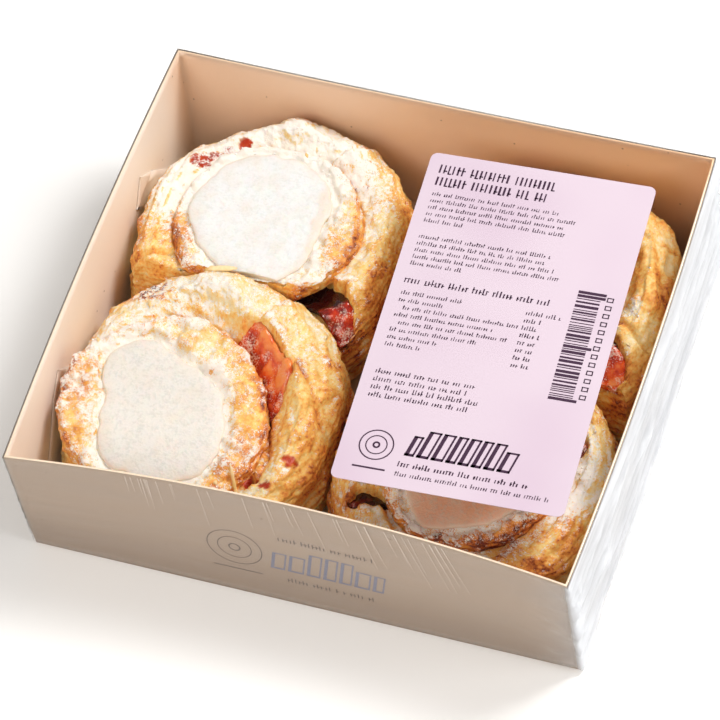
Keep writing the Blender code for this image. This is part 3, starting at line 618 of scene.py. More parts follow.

# Places are x, y in the tray, east to the right and north to the back.
# half and corners: half sizes, and how far the corners stand out, from north east and turning left
# seat and slope: a point of the plane under the lid, and its slope east and north
# lid and icing: radii every 30 degrees, from east and turning north; rim: height of the lid's rim
# windows: open places between the folded corners, where jam shows
# folds: lines where one flap ends on the next; ridges: turns between which the rim shows its layers
# stains: jam on the crust, as place, two radii and how dusted; burnt: place and two radii
# deep: place, radius, how deep the jam lies and how much it is dimmed there, as deep jam and as painted
# shade; thinness of the jam: how thin it is, to which painted shade is added near the lid
# spots: place, radius, more or less sugar, and more or less baking
# shards: long loose flakes, as place, length, width and turn; swell: place, radius and height
# crumpled: place, radius and strength; thin: direction, start and strength of clearer icing, where a
# start of 999 leaves none
pastries = {
    "front_left": {
        "centre": (-44.0, -30.0), "half": (43.6, 43.5), "top": 42.5, "seed": 3,
        "corners": (0.00, 0.02, 0.03, 0.05),
        "rim": 2.6, "seat": (-54.5, -43.0, 31.0), "slope": (-0.10, 0.18),
        "lid": (34.3, 33.2, 33.3, 33.2, 30.8, 31.6, 32.6, 31.0, 28.5, 28.5, 30.5, 33.5),
        "icingCentre": (-54.0, -43.0),
        "icing": (20.6, 19.6, 17.9, 18.9, 24.9, 24.2, 17.4, 19.4, 22.6, 21.7, 23.3, 23.0),
        "windows": [
            [(-42.0, -16.5), (-36.2, -9.0), (-32.2, -6.1), (-27.3, -10.6), (-23.1, -15.3), (-16.2, -19.3),
             (-18.3, -27.4), (-20.7, -38.7), (-28.0, -36.0)],
            [(-22.6, -57.4), (-20.4, -54.6), (-18.4, -56.4), (-19.8, -59.5)],
        ],
        "folds": [[(-16.2, -19.3), (-9.0, -27.0), (-4.0, -36.0)],
                  [(-32.2, -6.1), (-29.0, 1.0), (-27.0, 8.0)],
                  [(-20.7, -38.7), (-17.5, -47.0), (-18.5, -56.0)]],
        "stains": [(-9.4, -49.5, 2.8, 1.8, 0.0), (-14.3, -58.8, 3.0, 1.4, 0.1),
                   (-20.5, -56.5, 3.4, 3.0, 0.0)],
        "ridges": (-55, 60), "bake": 0.38, "sugar": 0.64, "burnt": [(-71.0, -3.0, 9.0, 4.0)], "thinnessAndPaintedShade": 0.88,
        "deep": [(-38.0, -20.0, 7.0, 1.5, 0.34), (-22.0, -36.0, 6.0, 0.5, 0.36),
                 (-20.0, -57.0, 4.0, 1.5, 0.30)],
        "spots": [(-10.0, -33.0, 13.0, -0.32, 0.16), (-10.0, -56.0, 13.0, -0.30, 0.03),
                  (-27.0, -40.0, 8.0, -0.30, 0.10), (-29.0, -27.0, 7.0, -0.30, 0.10),
                  (-29.0, -57.0, 8.0, -0.20, 0.08), (-84.0, -42.0, 10.0, -0.16, 0.06),
                  (-82.0, -24.0, 10.0, 0.14, 0.0), (-78.0, -60.0, 9.0, -0.28, 0.06),
                  (-52.0, 2.0, 14.0, 0.06, -0.04), (-44.0, -17.0, 8.0, -0.16, 0.06)],
        "shards": [(-52.0, 9.5, 11.0, 1.6, 15.0), (-25.0, -58.5, 9.0, 1.0, -62.0)],
        "swell": (-52.0, 4.0, 16.0, 4.0), "crumpled": [(-84.0, -40.0, 15.0, 1.3), (-27.0, -52.0, 9.0, 0.9)],
        "thin": (1.0, 1.0, 999.0, 0.0),
    },
    "back_left": {
        "centre": (-44.5, 34.0), "half": (43.4, 42.0), "top": 42.5, "seed": 8,
        "corners": (0.00, -0.07, 0.04, 0.10),
        "rim": 1.7, "seat": (-44.0, 32.5, 34.0), "slope": (0.02, 0.02),
        "lid": (30.5, 29.4, 28.6, 28.0, 30.0, 30.4, 30.4, 30.8, 29.6, 28.5, 29.0, 29.6),
        "icingCentre": (-47.0, 32.0),
        "icing": (20.4, 24.0, 24.4, 24.3, 24.4, 22.8, 23.6, 20.8, 20.3, 24.0, 25.4, 22.6),
        "windows": [
            [(-32.0, 12.0), (-26.0, 20.0), (-20.0, 20.0), (-17.8, 16.5), (-13.1, 14.8), (-10.6, 12.7),
             (-8.2, 8.8), (-6.8, 4.6), (-7.5, 1.3), (-9.5, -2.0), (-12.0, -12.0), (-32.0, -12.0)],
        ],
        "folds": [[(-14.8, 13.5), (-9.0, 19.0), (-4.0, 27.0)], [(-70.0, 16.0), (-78.0, 12.0), (-86.0, 10.0)],
                  [(-30.0, 62.0), (-24.0, 70.0), (-22.0, 77.0)]],
        "stains": [(-61.5, 60.3, 2.8, 2.6, 0.2), (-73.0, 50.5, 4.4, 3.0, 0.55), (-69.0, 53.0, 3.4, 2.2, 0.6),
                   (-65.5, 56.5, 2.6, 2.0, 0.7)],
        "ridges": (150, 215), "bake": 0.38, "sugar": 0.70, "burnt": [(-20.5, 52.5, 4.5, 1.8)], "thinnessAndPaintedShade": 0.44,
        "deep": [(-24.0, 14.0, 9.0, 6.0, 0.90), (-12.0, 15.0, 4.0, 3.0, 0.25),
                 (-14.0, 2.0, 8.0, 6.0, 0.0)],
        "spots": [(-44.0, 68.0, 18.0, 0.46, -0.10), (-11.0, 52.0, 11.0, -0.18, 0.08),
                  (-22.0, 60.0, 12.0, 0.22, 0.0), (-76.0, 10.0, 14.0, -0.38, 0.02),
                  (-82.0, 36.0, 12.0, 0.20, 0.0), (-6.0, 30.0, 15.0, -0.42, 0.10),
                  (-74.0, 22.0, 10.0, -0.30, 0.14), (-18.0, 26.0, 11.0, -0.04, -0.04),
                  (-70.0, 44.0, 10.0, 0.25, 0.0)],
        "shards": [],
        "swell": (-44.0, 62.0, 14.0, 1.0), "crumpled": [(-20.0, 24.0, 11.0, 1.0), (-70.0, 22.0, 8.0, 0.8)],
        "thin": (1.0, 0.0, -29.5, 0.50),
    },
    "back_right": {
        "centre": (44.5, 31.0), "half": (43.4, 46.0), "top": 42.5, "seed": 15,
        "corners": (0.04, 0.04, 0.03, 0.05),
        "rim": 2.6, "seat": (42.0, 33.0, 32.5), "slope": (0.00, 0.03),
        "lid": (28.2, 28.8, 28.0, 27.6, 28.4, 29.0, 28.2, 27.8, 28.6, 28.0, 28.4, 28.0),
        "icingCentre": (41.0, 33.5),
        "icing": (21.0, 22.0, 20.6, 21.4, 22.4, 21.2, 20.6, 21.8, 22.0, 20.8, 21.6, 21.4),
        "windows": [
            [(60.0, 16.0), (66.0, 19.0), (71.8, 17.9), (76.5, 14.3), (79.6, 11.2), (80.0, 6.9),
             (79.0, 2.5), (76.5, 0.5), (74.0, -0.9), (66.0, 0.0), (60.0, 4.0)],
            [(12.0, 16.0), (20.0, 12.0), (22.0, 5.0), (14.0, 6.0)],
        ],
        "folds": [[(69.7, 20.5), (76.0, 21.0), (84.0, 17.0)], [(78.0, 50.0), (82.0, 40.0), (85.0, 34.0)],
                  [(66.0, 58.0), (74.0, 54.0), (82.0, 56.0)]],
        "stains": [], "ridges": (-20, 80), "bake": 0.42, "sugar": 0.30, "burnt": [], "thinnessAndPaintedShade": 0.56,
        "deep": [(69.0, 17.0, 6.0, 2.0, 0.50), (72.0, 2.0, 8.0, 5.0, 0.0)],
        "spots": [(84.0, 34.0, 8.0, -0.20, 0.14), (77.0, 28.0, 5.0, 0.30, -0.12),
                  (76.0, 40.0, 7.0, -0.3, 0.16), (72.0, 34.0, 7.0, -0.2, 0.0)],
        "shards": [],
        "swell": (76.0, 30.0, 14.0, 1.0), "crumpled": [], "thin": (1.0, 1.0, 999.0, 0.0),
    },
    "front_right": {
        "centre": (44.0, -30.0), "half": (43.6, 43.5), "top": 40.5, "seed": 23,
        "corners": (-0.10, 0.03, 0.03, 0.05),
        "rim": 2.6, "seat": (47.5, -36.5, 31.0), "slope": (0.02, 0.09),
        "lid": (27.5, 29.0, 30.0, 30.0, 30.2, 29.6, 30.0, 30.2, 29.4, 27.0, 26.4, 25.2),
        "icingCentre": (48.0, -37.5),
        "icing": (19.0, 20.0, 21.0, 21.0, 21.5, 22.0, 22.5, 23.5, 24.8, 20.8, 18.8, 18.2),
        "windows": [
            [(74.5, -19.6), (77.0, -21.5), (76.6, -25.0), (74.0, -26.0), (70.0, -23.0)],
            [(11.2, -56.4), (14.1, -51.1), (18.0, -50.1), (22.0, -52.1), (23.0, -55.3),
             (16.7, -57.6), (12.0, -58.7)],
        ],
        "folds": [[(72.2, -5.8), (79.0, -9.0), (84.0, -13.0)], [(64.0, -12.0), (70.0, -9.0), (74.0, -9.5)],
                  [(22.0, -55.0), (30.0, -64.0), (34.0, -72.0)]],
        "stains": [], "ridges": (-60, 30), "bake": 0.40, "sugar": 0.60, "burnt": [], "thinnessAndPaintedShade": 0.34,
        "deep": [(17.0, -54.0, 6.0, 4.0, 0.50)],
        "spots": [(40.0, -70.0, 22.0, -0.04, 0.10), (14.0, -62.0, 14.0, -0.06, 0.10),
                  (78.0, -34.0, 14.0, 0.22, -0.08), (70.0, -62.0, 15.0, -0.40, 0.34)],
        "shards": [(60.0, -72.0, 8.0, 1.1, 20.0)],
        "swell": (76.0, -62.0, 14.0, 1.0), "crumpled": [(40.0, -64.0, 16.0, 1.0)],
        "thin": (1.0, 1.0, 999.0, 0.0),
    },
}
diagonals = np.radians((45, 135, 225, 315))


def profileRings(roundness, shares):
    # reach and height at shares of the length of half a superellipse, from its top to its bottom
    angle = np.linspace(0.0, math.pi, 1441)
    reach = np.abs(np.sin(angle)) ** (2 / roundness)
    height = np.sign(np.cos(angle)) * np.abs(np.cos(angle)) ** (2 / roundness)
    length = np.concatenate(([0.0], np.cumsum(np.hypot(np.diff(reach), np.diff(height)))))
    length /= length[-1]
    return np.interp(shares, length, reach), np.interp(shares, length, height)


def cornerSum(values, turn, width):
    # what the four corners add at a turn round the pastry
    away = [np.arctan2(np.sin(turn - d), np.cos(turn - d)) for d in diagonals]
    return sum(v * bump(w, width) for v, w in zip(values, away))


def ripple(pastry, turn, counts, salt):
    # a wavy offset between about -1 and 1 round the rim, the same as in the solid
    draw = random.Random(pastry["seed"] * 101 + salt)
    waves = [np.sin(n * turn + draw.uniform(0, 2 * math.pi)) for n in counts]
    return sum(waves) / len(waves)


def outlineOf(pastry, turn):
    a, b = pastry["half"]
    reach = ((np.abs(np.cos(turn)) / a) ** 2.5 + (np.abs(np.sin(turn)) / b) ** 2.5) ** (-1 / 2.5)
    return reach * (1 + cornerSum(pastry["corners"], turn, 0.42))


def seatLevel(pastry, x, y):
    px, py, pz = pastry["seat"]
    sx, sy = pastry["slope"]
    return pz + sx * (x - px) + sy * (y - py)


def pastLid(pastry, x, y):
    # distance outside the edge of the pastry lid
    px, py, _ = pastry["seat"]
    return np.hypot(x - px, y - py) - around(pastry["lid"], np.arctan2(y - py, x - px))


def pressed(pastry, x, y, z, inset=0.0):
    # flattens points against the walls and against the neighbouring pastries
    h = np.clip(z / tray["height"], 0, 1)
    right = pastry["centre"][0] > 0
    front = pastry["centre"][1] < 0
    a = x / (tray["width"] / 2)
    b = y / (tray["depth"] / 2)
    side = sideReach(b, h) - tray["board"] - seam["wall"] - inset
    middle = seam["middle"] + inset
    x = np.clip(x, middle, side) if right else np.clip(x, -side, -middle)
    turned = np.maximum(0.0, seam["bend"] - np.abs(x))
    base = seam["rightBase"] if right else seam["leftBase"]
    line = base + seam["lean"] * z - seam["curve"] * turned * turned
    wall = longReach(a, h, front) - tray["board"] - seam["wall"] - inset
    if front:
        y = np.minimum(np.maximum(y, -wall), line - tray["gap"] - inset)
    else:
        y = np.maximum(np.minimum(y, wall), line + 3 * tray["gap"] + inset)
    return x, y


def cornersCut(corners):
    # the same loop with each corner cut twice, which leaves it round
    corners = np.array(corners, float)
    for _ in range(2):
        following = np.roll(corners, -1, 0)
        pairs = (mixed(corners, following, 0.25), mixed(corners, following, 0.75))
        corners = np.stack(pairs, axis=1).reshape(-1, 2)
    return corners


def windowDistance(pastry, x, y, wobble=0.0):
    # distance outside the nearest open place, less than zero in it
    nearest = np.full(x.shape, 1e9)
    for corners in pastry["windows"]:
        nearest = np.minimum(nearest, distanceTo(x, y, cornersCut(corners)))
    return nearest + wobble


def flapHeight(pastry, x, y, angles, outward, heights):
    # top of the folded corners: a dome that dips to the seat of the lid
    s = crustShape
    folds = s["foldHeight"] * np.cos(4 * angles) * bump(outward - 0.72, 0.3)
    lumps = 0.7 * s["lumpRelief"] * ripple(pastry, angles, (6, 11, 13), 2)
    dome = s["widest"] + (pastry["top"] - s["widest"]) * heights / 0.80 + (folds + lumps) * outward
    sx, sy, radius, height = pastry["swell"]
    dome = dome + height * bump(np.hypot(x - sx, y - sy), radius)
    beyond = pastLid(pastry, x, y)
    besideLid = seatLevel(pastry, x, y) - tray["gap"] + s["lidGrip"] * ease(beyond, -2.0, 0.6)
    rising = mixed(besideLid, np.maximum(dome, besideLid), ease(beyond, -0.5, s["flapRise"]))
    return dome, np.minimum(dome, rising)


def spotted(pastry, x, y, which):
    # how much more or less sugar (3) or baking (4) the marked spots of a pastry have
    return sum(spot[which] * bump(np.hypot(x - spot[0], y - spot[1]), spot[2]) for spot in pastry["spots"])


def jamLevel(pastry, x, y):
    # the jam follows the flaps a little below them, and sinks in its deep places
    cx, cy = pastry["centre"]
    angles = np.arctan2(y - cy, x - cx)
    outward = np.minimum(np.hypot(x - cx, y - cy) / outlineOf(pastry, angles), 0.999)
    heights = (1 - outward ** crustShape["roundness"]) ** (1 / crustShape["roundness"])
    _, flap = flapHeight(pastry, x, y, angles, outward, heights)
    sunk = jamShape["below"]
    for dx, dy, radius, depth, _ in pastry["deep"]:
        sunk = sunk + depth * bump(np.hypot(x - dx, y - dy), radius)
    return np.maximum(flap - sunk, seatLevel(pastry, x, y) - 5.5)


def crustGrid(pastry):
    s = crustShape
    turn = np.arange(s["turns"]) * 2 * math.pi / s["turns"]
    shares = np.interp(np.linspace(0, 1, s["rings"]), (0, 0.07, 0.91, 1), (0.004, 0.12, 0.66, 0.985))
    reach, height = profileRings(s["roundness"], shares)
    angles, outward = np.meshgrid(turn, reach)
    _, heights = np.meshgrid(turn, height)
    cx, cy = pastry["centre"]
    edge = outlineOf(pastry, angles)
    layer = np.cos(2 * math.pi * s["widest"] * heights / s["layerPitch"])
    relief = s["layerRelief"] * layer * bump(heights - 0.1, 0.6)
    relief = relief + s["lumpRelief"] * ripple(pastry, angles, (5, 7, 9), 1)
    radius = edge * outward + relief * outward ** 3
    x = cx + radius * np.cos(angles)
    y = cy + radius * np.sin(angles)
    dome, _ = flapHeight(pastry, x, y, angles, outward, heights)
    lower = np.maximum(tray["board"] + tray["gap"], s["widest"] + s["widest"] * s["baseFlatness"] * heights)
    upper = heights >= 0
    x, y = pressed(pastry, x, y, np.where(upper, dome, lower))
    _, flap = flapHeight(pastry, x, y, angles, outward, heights)
    z = np.where(upper, np.maximum(s["widest"] + 0.5, flap), lower)
    return angles, outward, heights, x, y, z


def crustRelief(pastry, angles, outward, heights, x, y, z):
    # what the oven did: lumps, blisters, flaked layers and the pressed layers at the sides
    s = crustShape
    seed = pastry["seed"] * 20
    points = np.stack((x, y, z), axis=-1).reshape(-1, 3)
    shape = x.shape
    lump = fractalAt(points, s["lump"], seed, 2).reshape(shape)
    blister = np.maximum(0, noiseAt(points, s["blister"], seed + 3)).reshape(shape) ** 1.5
    field = fractalAt(points * (1, 1, 1.6), s["flakeSize"], seed + 5, 3, 0.55).reshape(shape)
    flakes = stepped(field * 2.6) / 2.6
    fine = fractalAt(points, s["fine"], seed + 9, 2, 0.6).reshape(shape)
    wavering = z + 1.1 * noiseAt(points, 16.0, seed + 12).reshape(shape) + 0.35 * fine
    layers = stepped(wavering / s["layers"] * 0.999, 0.5) - wavering / s["layers"]
    steep = ease(outward, 0.86, 0.98)
    relief = s["lumpHeight"] * lump + s["blisterHeight"] * blister + s["fineHeight"] * fine
    relief += s["flakeStep"] * 2.6 * (flakes - 0.4 * field) * (1 - 0.6 * steep)
    relief += s["layerDepth"] * 2 * layers * steep
    thin = fractalAt(points, s["thinFlake"], seed + 17, 2, 0.55).reshape(shape)
    relief += s["thinStep"] * (stepped(thin * 2.4) / 2.4 - 0.4 * thin)
    # curved ridges that follow the rim, where the folded corner shows its layers
    low, high = np.radians(pastry["ridges"])
    middle, width = (low + high) / 2, (high - low) / 2
    away = np.abs(np.arctan2(np.sin(angles - middle), np.cos(angles - middle)))
    band = ease(outward, 0.70, 0.80) * (1 - ease(away, 0.7 * width, 1.15 * width)) * (heights > 0)
    rings = outward * 43 + 1.3 * noiseAt(points, 18.0, seed + 14).reshape(shape)
    relief += band * s["ridgeHeight"] * (stepped(rings / 3.1, 0.4) - rings / 3.1 + 0.2)
    edges = np.maximum(stepEdge(field * 2.6), 0.6 * stepEdge(thin * 2.4))
    return relief, edges, fine, layers, steep


def makeCrust(name, pastry):
    angles, outward, heights, x, y, z = crustGrid(pastry)
    seed = pastry["seed"] * 20
    grid = np.stack((x, y, z), axis=-1)
    flat = grid.reshape(-1, 3)
    shape = x.shape
    upper = heights > 0
    normals = normalsOf(grid)
    relief, flakeEdge, fine, layers, steep = crustRelief(pastry, angles, outward, heights, x, y, z)
    beyond = pastLid(pastry, x, y)
    free = ease(beyond, -1.5, 2.0) * upper + (~upper) * ease(heights, -0.55, -0.2)
    grid = grid + normals * (relief * free)[..., None]
    x, y, z = grid[..., 0], grid[..., 1], grid[..., 2]
    # folds: a crease with the flap behind it standing a little higher
    crease = np.zeros(shape)
    for line in pastry["folds"]:
        off = distanceTo(x, y, line, closed=False) + 0.5 * noiseAt(flat, 5.0, seed + 30).reshape(shape)
        (px, py), (qx, qy) = line[0], line[-1]
        behind = ((x - px) * (qy - py) - (y - py) * (qx - px)) / math.hypot(qx - px, qy - py)
        crease = np.maximum(crease, bump(off, 0.9))
        z = z + np.where(upper, 1.5 * ease(behind, -0.5, 0.7) * bump(off, 5.0) - 1.3 * bump(off, 0.8), 0)
    # windows: the flaps end in a rounded lip and the basin with the jam lies below
    wobble = 1.3 * noiseAt(flat, 5.0, seed + 40).reshape(shape)
    wobble = wobble + 0.5 * noiseAt(flat, 2.0, seed + 41).reshape(shape)
    window = windowDistance(pastry, x, y, wobble)
    lip = bump(window - 2.2, 1.5) * ease(beyond, 0.5, 3.0)
    opened = 1 - ease(window, -0.7, 0.9)
    z = np.where(upper, z + 0.6 * lip, z)
    z = np.where(upper, mixed(z, np.minimum(z, jamLevel(pastry, x, y) - 2.2), opened), z)
    x, y = pressed(pastry, x, y, z, -0.25)
    z = np.maximum(z, tray["board"] + tray["gap"])
    grid = np.stack((x, y, z), axis=-1)
    facing = normalsOf(grid)
    # how brown: raised places and rims more, the sheltered sides paler
    patches = fractalAt(flat, 15.0, seed + 50, 3, 0.6).reshape(shape)
    bake = pastry["bake"] + spotted(pastry, x, y, 4) + 0.15 * patches + 0.17 * relief
    bake += 0.10 * bump(outward - 0.93, 0.07) * upper
    bake += 0.16 * flakeEdge * upper
    bake += 0.14 * bump(window - 0.7, 1.3) + 0.22 * crease - 0.20 * steep * (z < 24) * (1 + layers)
    bake += 0.18 * steep * ease(-layers, 0.1, 0.5) * (z > 12)
    # painted shade: low in the valleys between neighbours the dough is drawn browner, standing in for their
    # warm shade
    paintedValleyShade = (1 - ease(z, 20, 36)) * np.maximum(bump(x, 9.0), bump(y + 3, 15.0)) * (heights > -0.6)
    bake = bake + 0.34 * paintedValleyShade
    for sx, sy, rx, ry in pastry["burnt"]:
        bake = bake + 0.9 * bump(np.hypot((x - sx) / rx, (y - sy) / ry), 1.0) * ease(fine, -0.5, 0.2)
    # where sugar lies: on what faces up, thickest near the lid
    drift = fractalAt(flat, 11.0, seed + 60, 3, 0.6).reshape(shape)
    sugar = pastry["sugar"] + spotted(pastry, x, y, 3) - 0.12 + 0.24 * drift
    sugar = sugar + 0.22 * bump(beyond - 3, 9.0) - 0.10 * fine
    sugar = sugar * ease(facing[..., 2], 0.42, 0.88) - 0.5 * opened
    sugar = sugar - 0.24 * flakeEdge
    wet = np.zeros(shape)
    for sx, sy, rx, ry, dusted in pastry["stains"]:
        here = 1 - ease(np.hypot((x - sx) / rx, (y - sy) / ry) + 0.45 * fine, 0.6, 1.1)
        wet = np.maximum(wet, here)
        sugar = sugar - (1 - dusted) * here
    piece = roundSolid(f"crust.{name}", grid, crustDough, {"bake": bake, "sugar": sugar, "wet": wet * upper})
    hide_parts(f"crust_{name}")
    return grid, facing, sugar


def makeLid(name, pastry):
    s = lidShape
    seed = pastry["seed"] * 20 + 1000
    turn = np.arange(s["turns"]) * 2 * math.pi / s["turns"]
    shares = np.interp(np.linspace(0, 1, s["rings"]), (0, 0.10, 0.88, 1), (0.004, 0.18, 0.66, 0.985))
    reach, height = profileRings(s["roundness"], shares)
    angles, outward = np.meshgrid(turn, reach)
    _, heights = np.meshgrid(turn, height)
    px, py, _ = pastry["seat"]
    radius = around(pastry["lid"], angles)
    x = px + radius * outward * np.cos(angles)
    y = py + radius * outward * np.sin(angles)
    ix, iy = pastry["icingCentre"]
    pastIcing = np.hypot(x - ix, y - iy) - around(pastry["icing"], np.arctan2(y - iy, x - ix))
    rim = pastry["rim"] * ease(pastIcing, 0.3, 4.2) * (1.0 + 0.45 * ripple(pastry, angles, (9, 14, 17), 5))
    body = s["thickness"] * 0.45
    top = s["thickness"] + rim
    rounding = np.where(outward > 0.8, 1 - (1 - np.clip(heights, 0, 1)) ** 2, 1.0)
    upper = heights >= 0
    under = body * (1 + np.minimum(heights, 0)) ** 3
    z = seatLevel(pastry, x, y) + np.where(upper, body + (top - body) * rounding, under)
    grid = np.stack((x, y, z), axis=-1)
    flat = grid.reshape(-1, 3)
    shape = x.shape
    normals = normalsOf(grid)
    lump = fractalAt(flat, s["lump"], seed, 2, 0.5).reshape(shape)
    knobs = np.maximum(0, noiseAt(flat, s["knob"], seed + 3)).reshape(shape)
    fine = fractalAt(flat, s["fine"], seed + 5, 2, 0.6).reshape(shape)
    field = fractalAt(flat, s["flake"], seed + 8, 3, 0.6).reshape(shape)
    flakes = stepped(field * 2.4) / 2.4
    layers = z + 0.8 * noiseAt(flat, 12.0, seed + 9).reshape(shape)
    sides = ease(outward, 0.93, 0.99)
    pressedLayers = stepped(layers / s["layers"], 0.5) - layers / s["layers"]
    relief = s["lumpHeight"] * lump + s["knobHeight"] * knobs + s["fineHeight"] * fine
    relief = relief + s["flakeHeight"] * (flakes - 0.4 * field)
    relief = relief * (1 - 0.3 * sides) + s["layerDepth"] * pressedLayers * sides
    # places where the rim is crumpled into small deep knobs
    crumpled = np.zeros(shape)
    for cx, cy, size, strength in pastry["crumpled"]:
        crumpled = crumpled + strength * bump(np.hypot(x - cx, y - cy), size)
    pits = np.minimum(0, noiseAt(flat, s["pit"], seed + 21).reshape(shape) + 0.15) * 2.0 * crumpled
    relief = relief + pits
    free = ease(pastIcing, -0.5, 2.5) * upper + (~upper) * 0.3
    grid = grid + normals * (relief * free)[..., None]
    x, y, z = grid[..., 0], grid[..., 1], grid[..., 2]
    x, y = pressed(pastry, x, y, z, -0.2)
    z = np.minimum(z, tray["height"] - 1.0)
    grid = np.stack((x, y, z), axis=-1)
    facing = normalsOf(grid)
    patches = fractalAt(flat, 10.0, seed + 12, 3, 0.6).reshape(shape)
    # how brown: the rim and the valleys between knobs more
    bake = pastry["bake"] + spotted(pastry, x, y, 4) + 0.08 + 0.14 * patches + 0.14 * relief
    bake += 0.10 * crumpled - 0.10 * pits
    bake += 0.18 * bump(outward - 0.97, 0.05) + 0.07 * bump(knobs, 0.12) - 0.14 * knobs
    bake += 0.12 * sides * ease(-pressedLayers, 0.1, 0.5)
    # sugar lies on the knobs and round the icing
    drift = fractalAt(flat, 8.0, seed + 15, 3, 0.6).reshape(shape)
    sugar = pastry["sugar"] + spotted(pastry, x, y, 3) - 0.02 + 0.22 * drift + 0.40 * (knobs - 0.15)
    sugar += 0.25 * bump(pastIcing, 3.0) - 0.08 * fine + 0.22 * pits
    sugar = sugar * ease(facing[..., 2], 0.10, 0.65)
    piece = roundSolid(f"lid.{name}", grid, lidDough, {"bake": bake, "sugar": sugar, "wet": np.zeros(shape)})
    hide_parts(f"lid_{name}")
    return grid, facing, sugar


def makeIcing(name, pastry, material):
    s = icingShape
    seed = pastry["seed"] * 20 + 2000
    turn = np.arange(s["turns"]) * 2 * math.pi / s["turns"]
    shares = np.interp(np.linspace(0, 1, s["rings"]), (0, 0.85, 1), (0.004, 0.62, 0.985))
    reach, height = profileRings(lidShape["roundness"], shares)
    angles, outward = np.meshgrid(turn, reach)
    _, heights = np.meshgrid(turn, height)
    ix, iy = pastry["icingCentre"]
    # the edge of the pool wanders a little
    apart = np.full(angles.shape, 5.0 * pastry["seed"])
    rimPlace = np.stack((10 * np.cos(angles), 10 * np.sin(angles), apart), axis=-1)
    ragged = fractalAt(rimPlace.reshape(-1, 3), 2.6, seed + 6, 2).reshape(angles.shape)
    radius = around(pastry["icing"], angles) + ragged
    x = ix + radius * outward * np.cos(angles)
    y = iy + radius * outward * np.sin(angles)
    under = 0.35 * (1 + np.minimum(heights, 0)) ** 2
    rise = np.where(heights > 0, 0.35 + 0.65 * np.clip(heights, 0, 1), under)
    dish = 0.30 * ease(outward, 0.45, 0.9)
    flat = np.stack((x, y, np.zeros_like(x)), axis=-1).reshape(-1, 3)
    swell = 0.22 * fractalAt(flat, 13.0, seed, 2).reshape(x.shape)
    swell = swell + 0.05 * noiseAt(flat, 2.5, seed + 4).reshape(x.shape)
    z = seatLevel(pastry, x, y) + lidShape["thickness"] - 0.35 + (s["thickness"] + dish + swell) * rise
    x, y = pressed(pastry, x, y, z, 0.4)
    grid = np.stack((x, y, z), axis=-1)
    edge = 0.45 * ease(outward, 0.94, 0.995) + 0.16 * ease(outward, 0.72, 0.95)
    # one side is poured thinner, so it is clearer there, up to a soft border of powder
    tx, ty, start, clear = pastry["thin"]
    along = (x * tx + y * ty) / math.hypot(tx, ty)
    drift = 1.6 * fractalAt(flat, 5.0, seed + 8, 2).reshape(x.shape)
    edge = edge + clear * ease(along - start + drift, -1.2, 1.2) * (1 - 0.5 * ease(outward, 0.9, 1.0))
    piece = roundSolid(f"icing.{name}", grid, material, {"edge": edge})
    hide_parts(f"icing_{name}")


def makeJam(name, pastry, material):
    s = jamShape
    seed = pastry["seed"] * 20 + 3000
    turn = np.arange(s["turns"]) * 2 * math.pi / s["turns"]
    shares = np.interp(np.linspace(0, 1, s["rings"]), (0, 0.1, 0.86, 1), (0.004, 0.08, 0.5, 0.985))
    reach, height = profileRings(lidShape["roundness"], shares)
    angles, outward = np.meshgrid(turn, reach)
    _, heights = np.meshgrid(turn, height)
    cx, cy = pastry["centre"]
    # it reaches the rim only where a window opens beside it
    outline = outlineOf(pastry, angles)
    rimX = cx + s["reach"] * outline * np.cos(angles)
    rimY = cy + s["reach"] * outline * np.sin(angles)
    edge = (s["reach"] - s["hidden"] * ease(windowDistance(pastry, rimX, rimY), 3.0, 10.0)) * outline
    freeX = cx + edge * outward * np.cos(angles)
    freeY = cy + edge * outward * np.sin(angles)
    x, y = pressed(pastry, freeX, freeY, seatLevel(pastry, freeX, freeY), s["wall"])
    x, y = pressed(pastry, freeX, freeY, jamLevel(pastry, x, y), s["wall"])
    flat = np.stack((x, y, np.zeros_like(x)), axis=-1).reshape(-1, 3)
    lump = fractalAt(flat, 3.8, seed, 3, 0.6).reshape(x.shape)
    window = windowDistance(pastry, x, y)
    beyond = pastLid(pastry, x, y)
    shown = 1 - ease(window, -0.5, 2.5)
    level = seatLevel(pastry, x, y)
    full = level - s["depth"] + tray["gap"]
    low = np.minimum(level - 3.2, jamLevel(pastry, x, y) - 3.6)
    surface = mixed(low, jamLevel(pastry, x, y) + 0.9 * lump, shown)
    share = np.where(heights > 0, 1.0, 0.5 * (1 + np.minimum(heights, 0)) ** 2)
    z = np.minimum(full, surface - 1.0) + (surface - np.minimum(full, surface - 1.0)) * share
    grid = np.stack((x, y, z), axis=-1)
    # painted shade: the jam is drawn dimmer close to the lid's edge and in the deep places under the crust,
    # where shade falls
    thinnessAndPaintedShade = pastry["thinnessAndPaintedShade"] + 0.22 * lump + 0.30 * ease(beyond, 1, 9) - 0.15
    for dx, dy, reachOut, _, paintedDarkness in pastry["deep"]:
        thinnessAndPaintedShade = thinnessAndPaintedShade - paintedDarkness * bump(np.hypot(x - dx, y - dy), 1.2 * reachOut)
    piece = roundSolid(f"jam.{name}", grid, material, {"thinnessAndPaintedShade": thinnessAndPaintedShade})
    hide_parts(f"jam_{name}")


crustDough = pastryMaterial("ovenBakedPuffPastry")
lidDough = pastryMaterial("ovenBakedPastryLid")
# white of each pool and how much its pits show; the front right one is drawn pinker and dimmer, as painted
# shade from the label above it
creamIcing = icingMaterial("setSugarFondant", "#E9E7E2", 0.46)
icings = {"back_left": icingMaterial("setSugarFondantWhite", "#F1F4F5", 0.22),
          "front_right": icingMaterial("setSugarFondantInPaintedShade", "#EBB491", 0.35)}
appleJam = jamMaterial("boiledAppleJam")

# how many on each pastry, and how large; real grains of sugar are finer and wouldn't show
crumbs = {"flakes": 26, "grains": 420, "flakeSize": (0.8, 2.4), "grainSize": (0.16, 0.36),
          "flakeThickness": 0.16, "shardThickness": 0.2}


